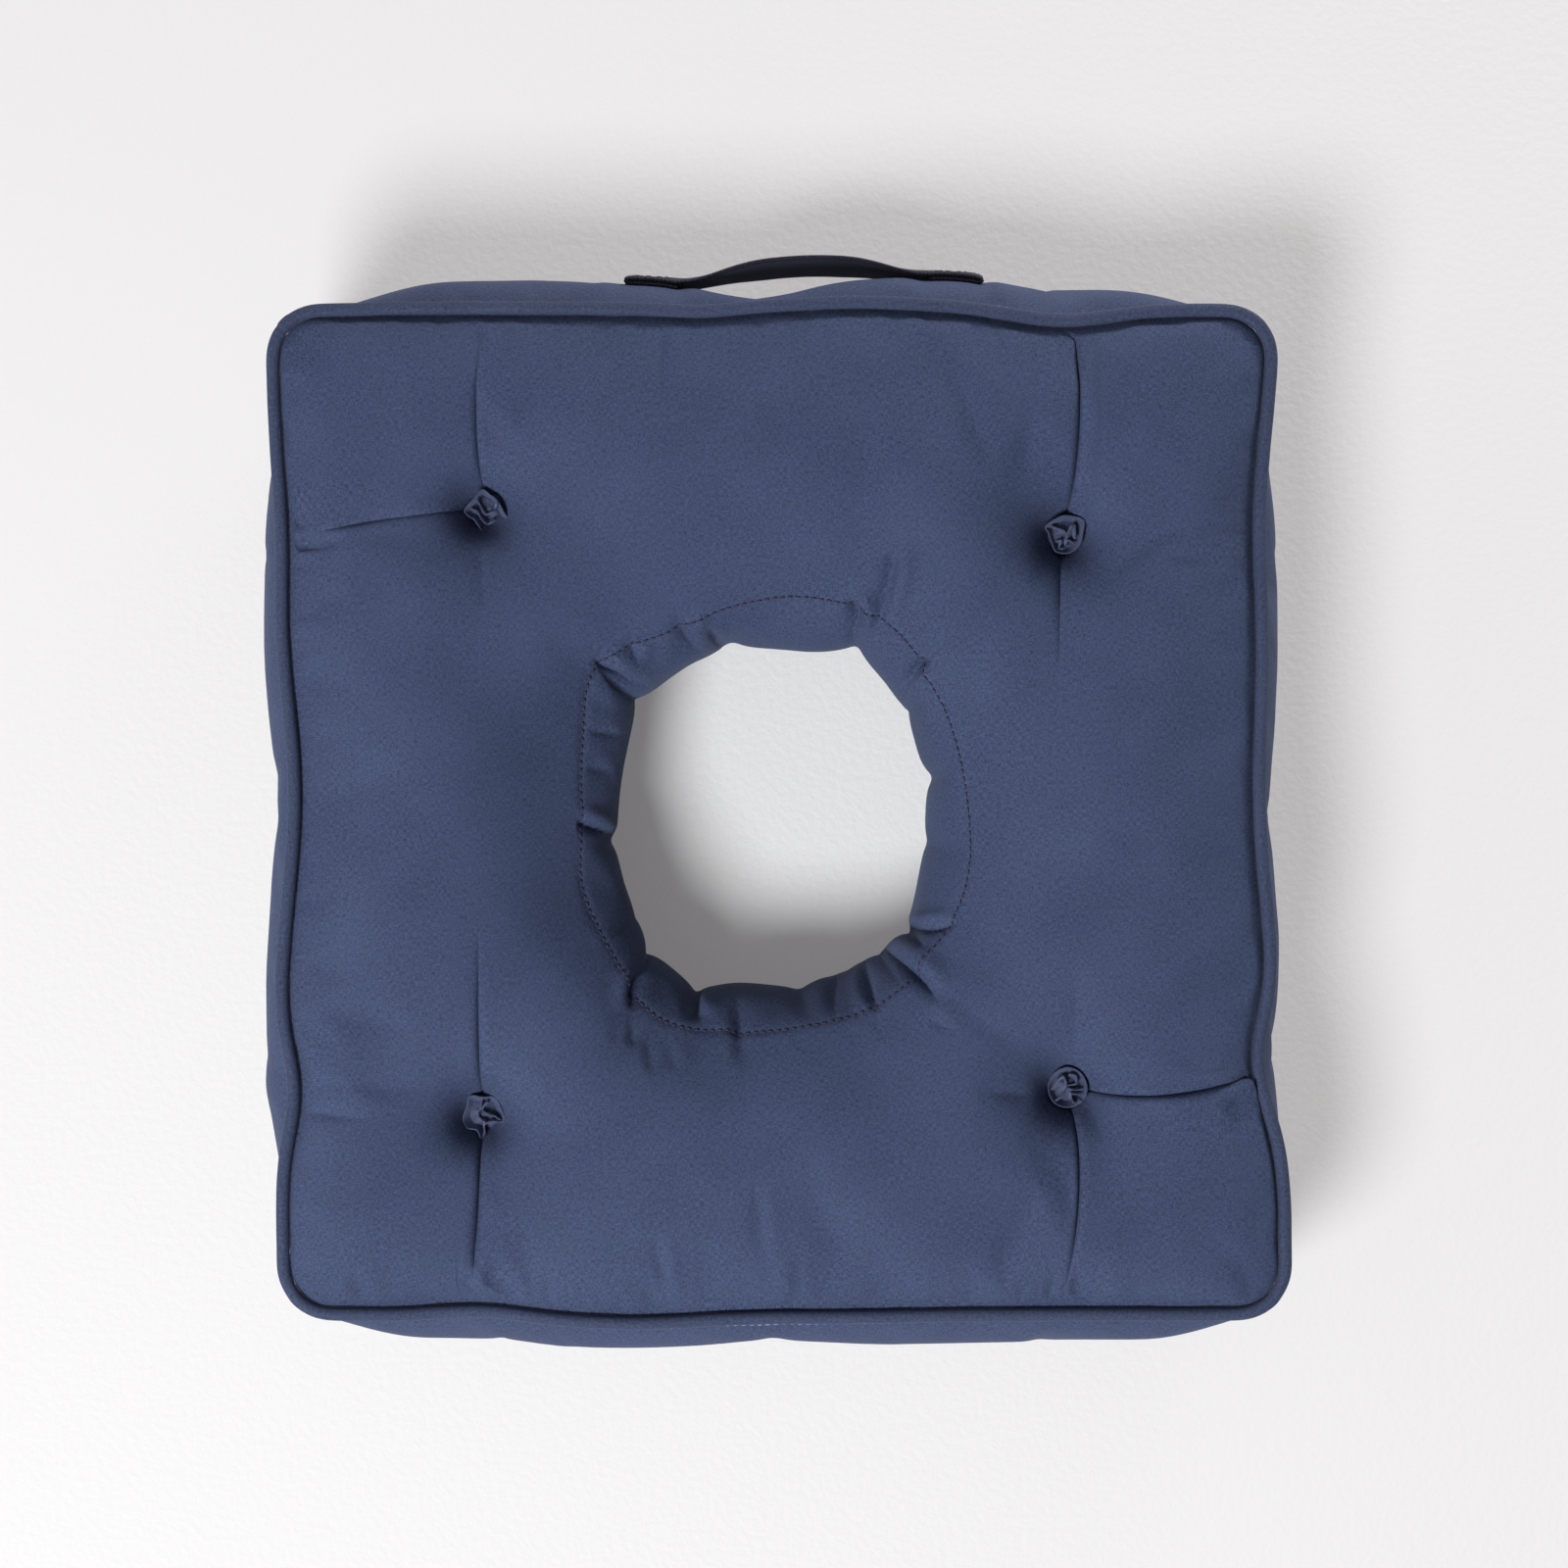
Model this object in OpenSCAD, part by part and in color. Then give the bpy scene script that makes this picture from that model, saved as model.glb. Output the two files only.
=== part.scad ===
// Square box-edged floor cushion with a round hole, four tufts and a carry handle.
// Millimetres, +Z up. The origin is on the floor under the middle of the whole
// object, and the carry handle is on the +Y side.

/* [Cushion] */
// Width of the cushion between opposite piped seams
side = 398; // [320:1:480]
// Height from the floor to the top of the crown
height = 100; // [90:1:130]
// Radius of the upright corners, seen from above
corner_r = 24; // [18:1:40]
// Thickness of the woven cover cloth
cloth = 1; // [0.8:0.1:1.5]
// Distance of the upper piped seam below the crown, and of the lower one above the floor
seam_drop = 13; // [10:1:18]
// How far each side wall bulges out past its two piped seams
bulge = 10; // [2:0.5:12]
// How far in from the seam the crown of each big panel reaches its full height
crown_run = 62; // [40:1:70]
// The same for the bottom panel, which lies flat on the floor inside this margin
floor_run = 34; // [25:1:50]

/* [Hole] */
// Diameter of the hole at its throat, half way up
hole_d = 130; // [90:1:140]
// Diameter of the seams that join the sleeve to the big panels
hole_seam_d = 160; // [146:1:170]
// Distance of the sleeve's seams from the floor and from the crown
hole_seam_drop = 10; // [8:1:14]

/* [Tufts] */
// Distance between neighbouring tufts
tuft_pitch = 230; // [220:1:240]
// How far each tuft sits from its place in a true square, as they are set by hand
shift_front_left = [-3, -5]; // [-8:1:8]
shift_front_right = [0, 5]; // [-8:1:8]
shift_back_left = [-2, 6]; // [-8:1:8]
shift_back_right = [-1, -4]; // [-8:1:8]
// Depth of the dimples in the top panel
top_dimple = 26; // [20:1:30]
// Depth of the dimples in the bottom panel
bottom_dimple = 16; // [14:1:20]
// Radius at which a dimple opens into the panel
dimple_r = 42; // [36:1:46]
// Radius of the flat spot under a rosette
dimple_floor_r = 12; // [10.5:0.5:13]
// Diameter of a rosette
rosette_d = 17; // [14:0.5:19]
// Height of a rosette
rosette_h = 8; // [6:0.5:10]
// Diameter of the twine that ties a top rosette to a bottom one
twine_d = 2; // [1.5:0.1:3]

/* [Piping] */
// Outer diameter of the piping
piping_d = 6; // [5:0.5:7]
// Diameter of the cotton cord inside it
cord_d = 4; // [3:0.5:4.5]

/* [Handle] */
// Length of the handle over both sewn ends
handle_l = 146; // [130:1:160]
// Length of each sewn end
tab_l = 25; // [22:1:28]
// Width of the webbing
strap_w = 25; // [20:1:30]
// Thickness of the webbing
strap_t = 2; // [1.5:0.1:2.5]
// Gap for the fingers between the wall and the middle of the webbing
finger_gap = 12; // [10:0.5:15]
// Length of the middle of the webbing, which swings
grip_l = 48; // [36:1:52]
// Sideways distance of the handle from the middle of its wall
handle_shift = 10; // [-20:1:20]

/* [Hidden] */
$fn = 48;

navy = "#47557d";
dark_navy = "#23232f";

half = side / 2;                     // piped seam to the middle of the cushion
wall_y = half + bulge;               // outermost point of a side wall
handle_reach = finger_gap + strap_t; // how far the handle stands out from its wall
mid_y = -handle_reach / 2;           // the middle of the cushion, in Y
seam_top = height - seam_drop;
seam_bottom = seam_drop;
crown_steps = 8;                     // flats along the curved edge of the crown
wall_steps = 8;                      // flats up the bulge of a wall
far = 2 * side;                      // longer than anything in the model
past = 10;                           // how far a cut runs on past the surface it opens

// The sleeve's wall is part of a torus through both of its seams.
hole_rise = height / 2 - hole_seam_drop;
hole_depth = (hole_seam_d - hole_d) / 2;
hole_curve = (hole_rise ^ 2 + hole_depth ^ 2) / (2 * hole_depth);
hole_axis_r = hole_d / 2 + hole_curve;
hole_zone_r = 108;                   // everything of the hole lies inside this radius

dimple_flare = 1;                    // the mouth of a dimple is this much past upright
dimple_curve = dimple_r - dimple_floor_r + dimple_flare;
tuft = tuft_pitch / 2;
shifts = [[shift_front_left, shift_front_right], [shift_back_left, shift_back_right]];
rosette_r = rosette_d / 2;
piping_r = piping_d / 2;
cord_r = cord_d / 2;

// The webbing between its sewn ends is an arc that meets the wall at both of them.
span = handle_l - 2 * tab_l;
bow = finger_gap + strap_t / 2;
strap_arc_r = ((span / 2) ^ 2 + bow ^ 2) / (2 * bow);
tab_t = 2 * strap_t;                 // the end is folded under, so it is double
strap_clear = 0.4;                   // room between the bowed webbing and what it moves by
tab_sink = 2;                        // how far the sewn ends reach in to meet the bulge
thread_d = 0.8;
stitch_l = 3;
stitch_gap = 1.4;
stitch_inset = 3;                    // from the edge of a sewn end to its stitching

// ---------------------------------------------------------------- outlines

// Height of the crown's surface over the seam, at a distance d in from the seam
function crown_rise(d, run, rise) =
    let (u = 1 - min(d / run, 1)) rise * sqrt(max(0, 1 - u ^ 2.2));

// Outward bulge of a wall at a height z
function wall_bulge(z) =
    let (u = (z - height / 2) / (height / 2 - seam_drop)) bulge * max(0, 1 - u ^ 2);

// Points up the curved edge of a crown: distance in from the seam, and height over it
function crown_edge(run) = [
    for (i = [0:crown_steps])
        let (inset = run * (i / crown_steps) ^ 1.6) [inset, crown_rise(inset, run, seam_drop)]
];

// Cross-section of the crowns only. shrink moves every surface inwards.
module crown_outline(shrink) {
    upper = [for (p = crown_edge(crown_run)) [half - p.x, seam_top + p.y - shrink]];
    lower = [for (p = crown_edge(floor_run)) [half - p.x, seam_bottom - p.y + shrink]];
    right = concat(
        [for (i = [crown_steps:-1:0]) lower[i]],
        [[far, lower[0].y], [far, upper[0].y]],
        upper);
    left = [for (i = [len(right) - 1:-1:0]) [-right[i].x, right[i].y]];
    polygon(concat(right, left));
}

// Half of the cross-section of a bulging wall, out from a line at distance reach from it
module wall_outline(reach, shrink) {
    levels = [for (i = [0:wall_steps]) seam_bottom + (seam_top - seam_bottom) * i / wall_steps];
    polygon(concat(
        [[0, -past], [reach - shrink, -past]],
        [for (z = levels) [reach + wall_bulge(z) - shrink, z]],
        [[reach - shrink, height + past], [0, height + past]]));
}

// The same at a corner, with the edges of both crowns, which turn round it with the wall
module corner_outline(shrink) {
    function turned(edge) = concat(
        [for (p = edge) if (p.x < corner_r) p],
        [[corner_r, lookup(corner_r, edge)]]);
    upper = turned(crown_edge(crown_run));
    lower = turned(crown_edge(floor_run));
    intersection() {
        wall_outline(corner_r, shrink);
        polygon(concat(
            [for (i = [len(lower) - 1:-1:0]) [corner_r - lower[i].x, seam_bottom - lower[i].y + shrink]],
            [[2 * corner_r, seam_bottom + shrink], [2 * corner_r, seam_top - shrink]],
            [for (p = upper) [corner_r - p.x, seam_top + p.y - shrink]]));
    }
}

// ---------------------------------------------------------------- whole bodies

// Rounded square with bulging walls, crowned at its corners only
module barrel(shrink) {
    flat = half - corner_r;
    for (turn = [0:90:270]) {
        rotate([0, 0, turn]) {
            rotate([90, 0, 0])
                linear_extrude(2 * flat, center = true) wall_outline(half, shrink);
            translate([flat, flat, 0]) rotate_extrude() corner_outline(shrink);
        }
    }
}

// Both crowns, square in plan
module crowns(shrink) {
    intersection() {
        rotate([90, 0, 0]) linear_extrude(far, center = true) crown_outline(shrink);
        rotate([90, 0, 90]) linear_extrude(far, center = true) crown_outline(shrink);
    }
}

// The air in the hole, between the two halves of its curved wall
module hole_air(grow) {
    rotate_extrude($fn = 96) difference() {
        translate([0, -past]) square([hole_axis_r, height + 2 * past]);
        translate([hole_axis_r, height / 2]) circle(hole_curve - grow);
    }
}

// The air in one dimple, its flat floor at z = 0 and its mouth above
module dimple_air(depth, grow) {
    rotate_extrude() difference() {
        translate([0, -grow]) square([dimple_r, depth + 2 * past]);
        translate([dimple_r, depth + dimple_flare - dimple_curve]) circle(dimple_curve - grow);
    }
}

// Side is -1 for left or front and 1 for right or back
module at_tuft(side_x, side_y) {
    shift = shifts[(side_y + 1) / 2][(side_x + 1) / 2];
    translate([side_x * tuft + shift.x, side_y * tuft + shift.y, 0]) children();
}

module at_tufts() {
    for (side_x = [-1, 1], side_y = [-1, 1])
        at_tuft(side_x, side_y) children();
}

// The stuffed cushion, with every surface moved in by shrink
module stuffed_body(shrink) {
    difference() {
        intersection() {
            barrel(shrink);
            crowns(shrink);
        }
        hole_air(shrink);
        at_tufts() {
            translate([0, 0, height - top_dimple]) dimple_air(top_dimple, shrink);
            translate([0, 0, bottom_dimple]) mirror([0, 0, 1]) dimple_air(bottom_dimple, shrink);
        }
    }
}

// Ring of round section that follows a piped seam
module seam_ring(r, z) {
    flat = half - corner_r;
    translate([0, 0, z]) for (turn = [0:90:270]) {
        rotate([0, 0, turn]) {
            translate([half, 0, 0]) rotate([90, 0, 0]) cylinder(r = r, h = 2 * flat, center = true);
            translate([flat, flat, 0]) rotate_extrude(angle = 90) translate([corner_r, 0]) circle(r);
        }
    }
}

module both_seam_rings(r) {
    seam_ring(r, seam_top);
    seam_ring(r, seam_bottom);
}

module tuft_channels() {
    at_tufts() cylinder(d = twine_d, h = height);
}

// Cover cloth all round, less the room for the piping and the twine
module cover_cloth() {
    difference() {
        stuffed_body(0);
        stuffed_body(cloth);
        both_seam_rings(piping_r);
        tuft_channels();
    }
}

// ---------------------------------------------------------------- zones of the cover

// Column over the big panels, clear of the walls
module inner_column(h) {
    margin = half - corner_r / 2;
    translate([-margin, -margin, 0]) cube([2 * margin, 2 * margin, h]);
}

// The top panel's share: above the piped seam, and its dimples, but not the sleeve
module top_zone() {
    difference() {
        union() {
            translate([-far / 2, -far / 2, seam_top]) cube([far, far, far]);
            translate([0, 0, height / 2]) inner_column(far);
        }
        cylinder(r = hole_zone_r, h = height - hole_seam_drop);
    }
}

module bottom_zone() {
    translate([0, 0, height]) mirror([0, 0, 1]) top_zone();
}

// A quarter of the plan, towards +Y, cut along the diagonals
module back_quarter() {
    linear_extrude(height) polygon([[0, 0], [far, far], [-far, far]]);
}

module boxing(turn) {
    color(navy) translate([0, mid_y, 0]) intersection() {
        cover_cloth();
        rotate([0, 0, turn]) back_quarter();
        difference() {
            translate([-far / 2, -far / 2, seam_bottom]) cube([far, far, seam_top - seam_bottom]);
            inner_column(height);
        }
    }
}

// ---------------------------------------------------------------- cover pieces

module top_panel() {
    color(navy) translate([0, mid_y, 0]) intersection() {
        cover_cloth();
        top_zone();
    }
}

module bottom_panel() {
    color(navy) translate([0, mid_y, 0]) intersection() {
        cover_cloth();
        bottom_zone();
    }
}

module hole_sleeve() {
    color(navy) translate([0, mid_y, 0]) intersection() {
        cover_cloth();
        translate([0, 0, hole_seam_drop])
            cylinder(r = hole_zone_r, h = height - 2 * hole_seam_drop);
    }
}

module piping_cover(z) {
    color(navy) translate([0, mid_y, 0]) difference() {
        seam_ring(piping_r, z);
        seam_ring(cord_r, z);
    }
}

module piping_cord(z) {
    color("ivory") translate([0, mid_y, 0]) seam_ring(cord_r, z);
}

module fibre_filling() {
    color("white") translate([0, mid_y, 0]) difference() {
        stuffed_body(cloth);
        both_seam_rings(piping_r);
        tuft_channels();
    }
}

// ---------------------------------------------------------------- tufts

// One tier of a rosette: a disc with lobes round it
module lobed_disc(r, lobes) {
    lobe_r = 0.42 * r;
    circle(0.65 * r);
    for (i = [0:lobes - 1])
        rotate(i * 360 / lobes) translate([r - lobe_r, 0]) circle(lobe_r);
}

// Gathered scrap of cloth: two tiers of folds, the upper one smaller and turned
module rosette(side_x, side_y, z, up) {
    lower_tier = 0.6;
    upper_size = 0.6;
    color(navy) translate([0, mid_y, z]) at_tuft(side_x, side_y) mirror([0, 0, up ? 0 : 1]) {
        linear_extrude(rosette_h * lower_tier) lobed_disc(rosette_r, 6);
        linear_extrude(rosette_h) rotate(30) lobed_disc(rosette_r * upper_size, 5);
    }
}

module top_rosette(side_x, side_y) {
    rosette(side_x, side_y, height - top_dimple, true);
}

module bottom_rosette(side_x, side_y) {
    rosette(side_x, side_y, bottom_dimple, false);
}

module twine(side_x, side_y) {
    color("ivory") translate([0, mid_y, bottom_dimple]) at_tuft(side_x, side_y)
        cylinder(d = twine_d, h = height - top_dimple - bottom_dimple);
}

// ---------------------------------------------------------------- handle

// The handle's own frame: its middle on the wall's outermost line, half way up
module at_handle() {
    translate([handle_shift, mid_y + wall_y, height / 2]) children();
}

// The whole bowed stretch of webbing between the sewn ends
module bowed_strap() {
    intersection() {
        translate([0, bow - strap_arc_r, -strap_w / 2]) difference() {
            cylinder(r = strap_arc_r + strap_t / 2, h = strap_w, $fn = 180);
            translate([0, 0, -past])
                cylinder(r = strap_arc_r - strap_t / 2, h = strap_w + 2 * past, $fn = 180);
        }
        translate([-span / 2, strap_clear, -strap_w]) cube([span, far, 2 * strap_w]);
    }
}

// The middle of it, the part a hand takes hold of and swings
module handle_grip() {
    color(dark_navy) at_handle() intersection() {
        bowed_strap();
        translate([-grip_l / 2, 0, -strap_w]) cube([grip_l, far, 2 * strap_w]);
    }
}

// The stretch of it between the grip and one sewn end
module handle_leg(direction) {
    color(dark_navy) at_handle() mirror([direction < 0 ? 1 : 0, 0, 0]) intersection() {
        bowed_strap();
        translate([grip_l / 2 + strap_clear, 0, -strap_w]) cube([span, far, 2 * strap_w]);
    }
}

// A sewn end: folded under, and lying on the bulge of the wall
module handle_tab(direction) {
    color(dark_navy) difference() {
        at_handle() mirror([direction < 0 ? 1 : 0, 0, 0])
            translate([span / 2, -tab_sink, -strap_w / 2])
                cube([tab_l, tab_t + tab_sink, strap_w]);
        translate([0, mid_y, 0]) barrel(0);
    }
}

// One side of a stitched square: short threads in a row along X
module stitch_row(length) {
    count = floor(length / (stitch_l + stitch_gap));
    pitch = length / count;
    for (i = [0:count - 1])
        translate([-length / 2 + (i + 0.5) * pitch, 0, 0]) rotate([0, 90, 0])
            cylinder(d = thread_d, h = pitch - stitch_gap, center = true, $fn = 16);
}

// A stitched square with a cross in it, lying on a sewn end
module handle_stitching(direction) {
    box_x = tab_l - 2 * stitch_inset;
    box_z = strap_w - 2 * stitch_inset;
    reach = sqrt(box_x ^ 2 + box_z ^ 2) - 2 * stitch_l;
    color("#3a3f5c") at_handle() mirror([direction < 0 ? 1 : 0, 0, 0])
        translate([(span + tab_l) / 2, tab_t + thread_d / 2, 0]) {
            for (end = [-1, 1]) {
                translate([0, 0, end * box_z / 2]) stitch_row(box_x - stitch_l);
                translate([end * box_x / 2, 0, 0]) rotate([0, 90, 0]) stitch_row(box_z - stitch_l);
                rotate([0, end * atan2(box_z, box_x), 0])
                    for (way = [-1, 1])
                        translate([way * (reach / 4 + stitch_gap), 0, 0]) stitch_row(reach / 2 - stitch_gap);
            }
        }
}

top_panel();
bottom_panel();
boxing(0);  // boxing_back
boxing(90);  // boxing_left
boxing(180);  // boxing_front
boxing(270);  // boxing_right
hole_sleeve();
piping_cover(seam_top);  // piping_cover_top
piping_cover(seam_bottom);  // piping_cover_bottom
piping_cord(seam_top);  // piping_cord_top
piping_cord(seam_bottom);  // piping_cord_bottom
fibre_filling();
top_rosette(-1, -1);  // rosette_top_front_left
top_rosette(1, -1);  // rosette_top_front_right
top_rosette(-1, 1);  // rosette_top_back_left
top_rosette(1, 1);  // rosette_top_back_right
bottom_rosette(-1, -1);  // rosette_bottom_front_left
bottom_rosette(1, -1);  // rosette_bottom_front_right
bottom_rosette(-1, 1);  // rosette_bottom_back_left
bottom_rosette(1, 1);  // rosette_bottom_back_right
twine(-1, -1);  // twine_front_left
twine(1, -1);  // twine_front_right
twine(-1, 1);  // twine_back_left
twine(1, 1);  // twine_back_right
handle_grip();
handle_leg(-1);  // handle_leg_left
handle_leg(1);  // handle_leg_right
handle_tab(-1);  // handle_tab_left
handle_tab(1);  // handle_tab_right
handle_stitching(-1);  // handle_stitching_left
handle_stitching(1);  // handle_stitching_right
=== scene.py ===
"""Square box-edged floor cushion with a round hole, four tufts and a carry handle.

Everything is in metres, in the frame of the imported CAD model. The cover is one connected
sheet that is laid out flat, sewn into its shape, blown up by a cloth simulation, given its
creases, and then cut into its sewn pieces.
"""
import math

import bpy
import numpy as np
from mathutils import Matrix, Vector
from mathutils.bvhtree import BVHTree


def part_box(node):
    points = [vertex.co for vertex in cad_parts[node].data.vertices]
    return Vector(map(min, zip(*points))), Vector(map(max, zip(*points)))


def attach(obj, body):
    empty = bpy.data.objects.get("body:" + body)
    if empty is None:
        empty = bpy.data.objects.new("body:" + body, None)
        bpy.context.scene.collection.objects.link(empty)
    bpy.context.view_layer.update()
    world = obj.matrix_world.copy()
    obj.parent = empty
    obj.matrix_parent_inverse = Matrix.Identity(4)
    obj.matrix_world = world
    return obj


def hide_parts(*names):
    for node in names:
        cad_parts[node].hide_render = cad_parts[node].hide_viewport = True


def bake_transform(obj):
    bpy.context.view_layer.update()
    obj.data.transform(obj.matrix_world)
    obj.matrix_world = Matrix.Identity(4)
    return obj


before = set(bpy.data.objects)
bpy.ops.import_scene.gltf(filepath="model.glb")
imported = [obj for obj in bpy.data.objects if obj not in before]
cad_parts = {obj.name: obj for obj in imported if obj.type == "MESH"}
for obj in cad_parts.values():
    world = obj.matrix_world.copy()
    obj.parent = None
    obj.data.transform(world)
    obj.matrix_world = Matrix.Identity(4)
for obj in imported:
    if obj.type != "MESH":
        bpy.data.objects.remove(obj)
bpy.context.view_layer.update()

MM = 0.001
TAU = 2 * math.pi

# ------------------------------------------------------------------ sizes, from the frame

ring_low, ring_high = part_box("piping_cover_top")
lower_ring_low, lower_ring_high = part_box("piping_cover_bottom")
PIPING_R = (ring_high.z - ring_low.z) / 2
HALF = (ring_high.x - ring_low.x) / 2 - PIPING_R
CENTRE = np.array([(ring_low.x + ring_high.x) / 2, (ring_low.y + ring_high.y) / 2, 0.0])
SEAM_TOP = (ring_low.z + ring_high.z) / 2
SEAM_BOTTOM = (lower_ring_low.z + lower_ring_high.z) / 2
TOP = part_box("top_panel")[1].z
sleeve_low, sleeve_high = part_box("hole_sleeve")
HOLE_R = (sleeve_high.x - sleeve_low.x) / 2 - 1 * MM
cord_low, cord_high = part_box("piping_cord_top")
CORD_R = (cord_high.z - cord_low.z) / 2
grip_low, grip_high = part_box("handle_grip")
HANDLE_X = (grip_low.x + grip_high.x) / 2
HANDLE_Z = (grip_low.z + grip_high.z) / 2

CORNERS = {"front_left": (-1, -1), "front_right": (1, -1), "back_left": (-1, 1), "back_right": (1, 1)}


def tuft_of(level, corner):
    """Middle of a rosette of the frame in plan, from the cushion's centre, and the height it sits at."""
    low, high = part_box(f"rosette_{level}_{corner}")
    middle = np.array((low + high) / 2) - CENTRE
    return middle[:2], (low.z if level == "top" else high.z)


TUFTS = {corner: tuft_of("top", corner)[0] for corner in CORNERS}
TOP_FLOOR = tuft_of("top", "front_left")[1]
BOTTOM_FLOOR = tuft_of("bottom", "front_left")[1]
rosette_low, rosette_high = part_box("rosette_top_front_left")
ROSETTE_R = (rosette_high.x - rosette_low.x) / 2
TUFT = sum(abs(p).sum() for p in TUFTS.values()) / 8  # how far the tufts are from the middle, each way

# ------------------------------------------------------------------ the cover's own sizes

PIPE_R = 0.88 * PIPING_R  # the piping as sewn, a little tighter than its plain solid
EDGE = HALF - PIPE_R + 0.25 * MM  # seam line of the panels, at the inner side of the piping
CORNER_R = 17 * MM
CROWN_RUN = 55 * MM  # how far in from a seam a panel reaches its full height
HOLE_RUN = 62 * MM  # how far out from the hole a panel begins to fall towards it
HOLE_DROP = TOP - sleeve_high.z + 5 * MM
DIMPLE_WAIST = 7 * MM  # width of the ring, round a rosette, in which a dimple loses half its depth
SHEAR = -0.012  # how far the whole cushion leans in plan, back to the left

HOLE_SHIFT = np.array([-2, -2]) * MM
# Distance from the middle of the hole to its seam and to its throat, in millimetres, every 20
# degrees from +X
SEAM_OUTLINE = [78, 78.5, 82.5, 90, 89, 86, 85, 93, 82, 77.5, 82, 85, 93, 87.5, 85, 86, 83, 81.5]
THROAT_OUTLINE = [
    61.5, 62.5, 67.5, 70.5, 67.5, 68, 69.5, 68.5, 64.5, 63, 65.5, 69.5, 73, 68.5, 69, 69, 67.5, 63.5]

# How far a side is pulled in: place along the side, distance in, and width, in millimetres
PULLS = {
    "left": [(110, 3.2, 26), (8, 7.4, 40), (-111, 6, 17)],
    "right": [(115, 6.5, 36), (5, 8.5, 50), (-100, 9.5, 20)],
    "back": [(-29, 1.5, 12), (33, -2.5, 30), (115, 4.5, 20)],
    "front": [(-120, 2.2, 17), (-60, -3.2, 30), (25, -0.8, 25)],
}
# Where the sleeve is gathered: angle in degrees round the hole, and depth of the fold
GATHERS = [
    (14, 4), (38, 2.5), (64, 7), (104, 5), (140, 5), (189, 3), (216, 1.5),
    (227, 5), (246, 6), (278, 2), (296, 1.5), (307, 2.5), (319, 4.5), (350, 2.5),
]
# How far the boxing of each side stands out past its seams, in millimetres, how much more it does so
# for each millimetre to the right or back, and the share of the seam's sharpest pull that it evens out
BULGES = {"left": (12, 0, 0.8), "right": (8.8, 0.017, 0.25), "back": (15.6, 0, 0), "front": (16.4, 0, 0)}
# How the handle draws the boxing in behind it: place along it from its middle, depth in, and width, in
# millimetres, and how far its sewn ends press in
HANDLE_DENTS = [(-12, 5, 17), (66, -2.2, 16), (-50, -1.4, 16)]
TAB_PRESS = 1.6

# Cells of the mesh outside and between the tufts, and rows round the hole, down a wall and a sleeve
OUTER_CELLS, INNER_CELLS, RING_ROWS, WALL_ROWS, SLEEVE_ROWS = 26, 72, 26, 16, 20


def bump(distance, width):
    return np.exp(-0.5 * (distance / width) ** 2)


def smooth(t):
    """0 up to t = 0 and 1 from t = 1, with a smooth step between."""
    t = np.clip(t, 0, 1)
    return t * t * (3 - 2 * t)


def curved(before, here, after, beyond, t):
    """Between here and after on a smooth curve through four spots."""
    bend = 2 * before - 5 * here + 4 * after - beyond + t * (3 * (here - after) + beyond - before)
    return here + 0.5 * t * (after - before + t * bend)


def round_curve(angle, values):
    """Smooth closed curve through values given at even steps of angle."""
    values = np.array(values, float)
    place = (angle / TAU % 1) * len(values)
    k = place.astype(int) % len(values)
    spots = (values[(k + step) % len(values)] for step in (-1, 0, 1, 2))
    return curved(*spots, place - np.floor(place))


# ------------------------------------------------------------------ flat layout of a panel

def graded(start, end, cells, ease=0.4):
    """Positions from start to end, closer together near both ends."""
    t = np.linspace(0, 1, cells + 1)
    return start + (end - start) * (t - ease * np.sin(TAU * t) / TAU)


def panel_layout():
    """A square with a round hole: points, quads, and the loops round its edge and its hole.

    Grid lines run through the tufts, so that the creases there follow the mesh."""
    lines = np.concatenate([
        graded(-EDGE, -TUFT, OUTER_CELLS)[:-1],
        graded(-TUFT, TUFT, INNER_CELLS)[:-1],
        graded(TUFT, EDGE, OUTER_CELLS),
    ])
    last = len(lines) - 1
    near, far = OUTER_CELLS, OUTER_CELLS + INNER_CELLS
    index, points, quads = {}, [], []
    for i in range(last + 1):
        for j in range(last + 1):
            if not (near < i < far and near < j < far):
                index[i, j] = len(points)
                points.append((lines[i], lines[j]))
    for i in range(last):
        for j in range(last):
            if not (near <= i < far and near <= j < far):
                quads.append((index[i, j], index[i + 1, j], index[i + 1, j + 1], index[i, j + 1]))

    def loop(low, high):
        path = [(i, low) for i in range(low, high)] + [(high, j) for j in range(low, high)]
        path += [(i, high) for i in range(high, low, -1)] + [(low, j) for j in range(high, low, -1)]
        return [index[p] for p in path]

    outer, ring = loop(0, last), loop(near, far)
    square = np.array([points[k] for k in ring])
    angle = np.arctan2(square[:, 1], square[:, 0])
    circle = HOLE_R * np.stack([np.cos(angle), np.sin(angle)], 1)
    for row in range(1, RING_ROWS + 1):
        t = 1 - (1 - row / RING_ROWS) ** 1.3
        start = len(points)
        points += [tuple(p) for p in square * (1 - t) + circle * t]
        inner = list(range(start, start + len(ring)))
        for k in range(len(ring)):
            n = (k + 1) % len(ring)
            quads.append((ring[k], ring[n], inner[n], inner[k]))
        ring = inner
    return np.array(points), quads, outer, ring


# ------------------------------------------------------------------ the sewn shape

def rounded(flat):
    """The square layout with its corners rounded, more and more towards the edge."""
    size = np.abs(flat)
    level, short = size.max(1), size.min(1)
    radius = CORNER_R * (level / EDGE) ** 4
    turn = np.clip((short - (level - radius)) / np.maximum(radius, 1e-9), 0, 1) * math.pi / 4
    inside = short < level - radius
    big = np.where(inside, level, level - radius + radius * np.cos(turn))
    small = np.where(inside, short, level - radius + radius * np.sin(turn))
    x_is_big = size[:, 0] >= size[:, 1]
    out = np.where(x_is_big[:, None], np.stack([big, small], 1), np.stack([small, big], 1))
    return out * np.sign(flat + 1e-12)


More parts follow.
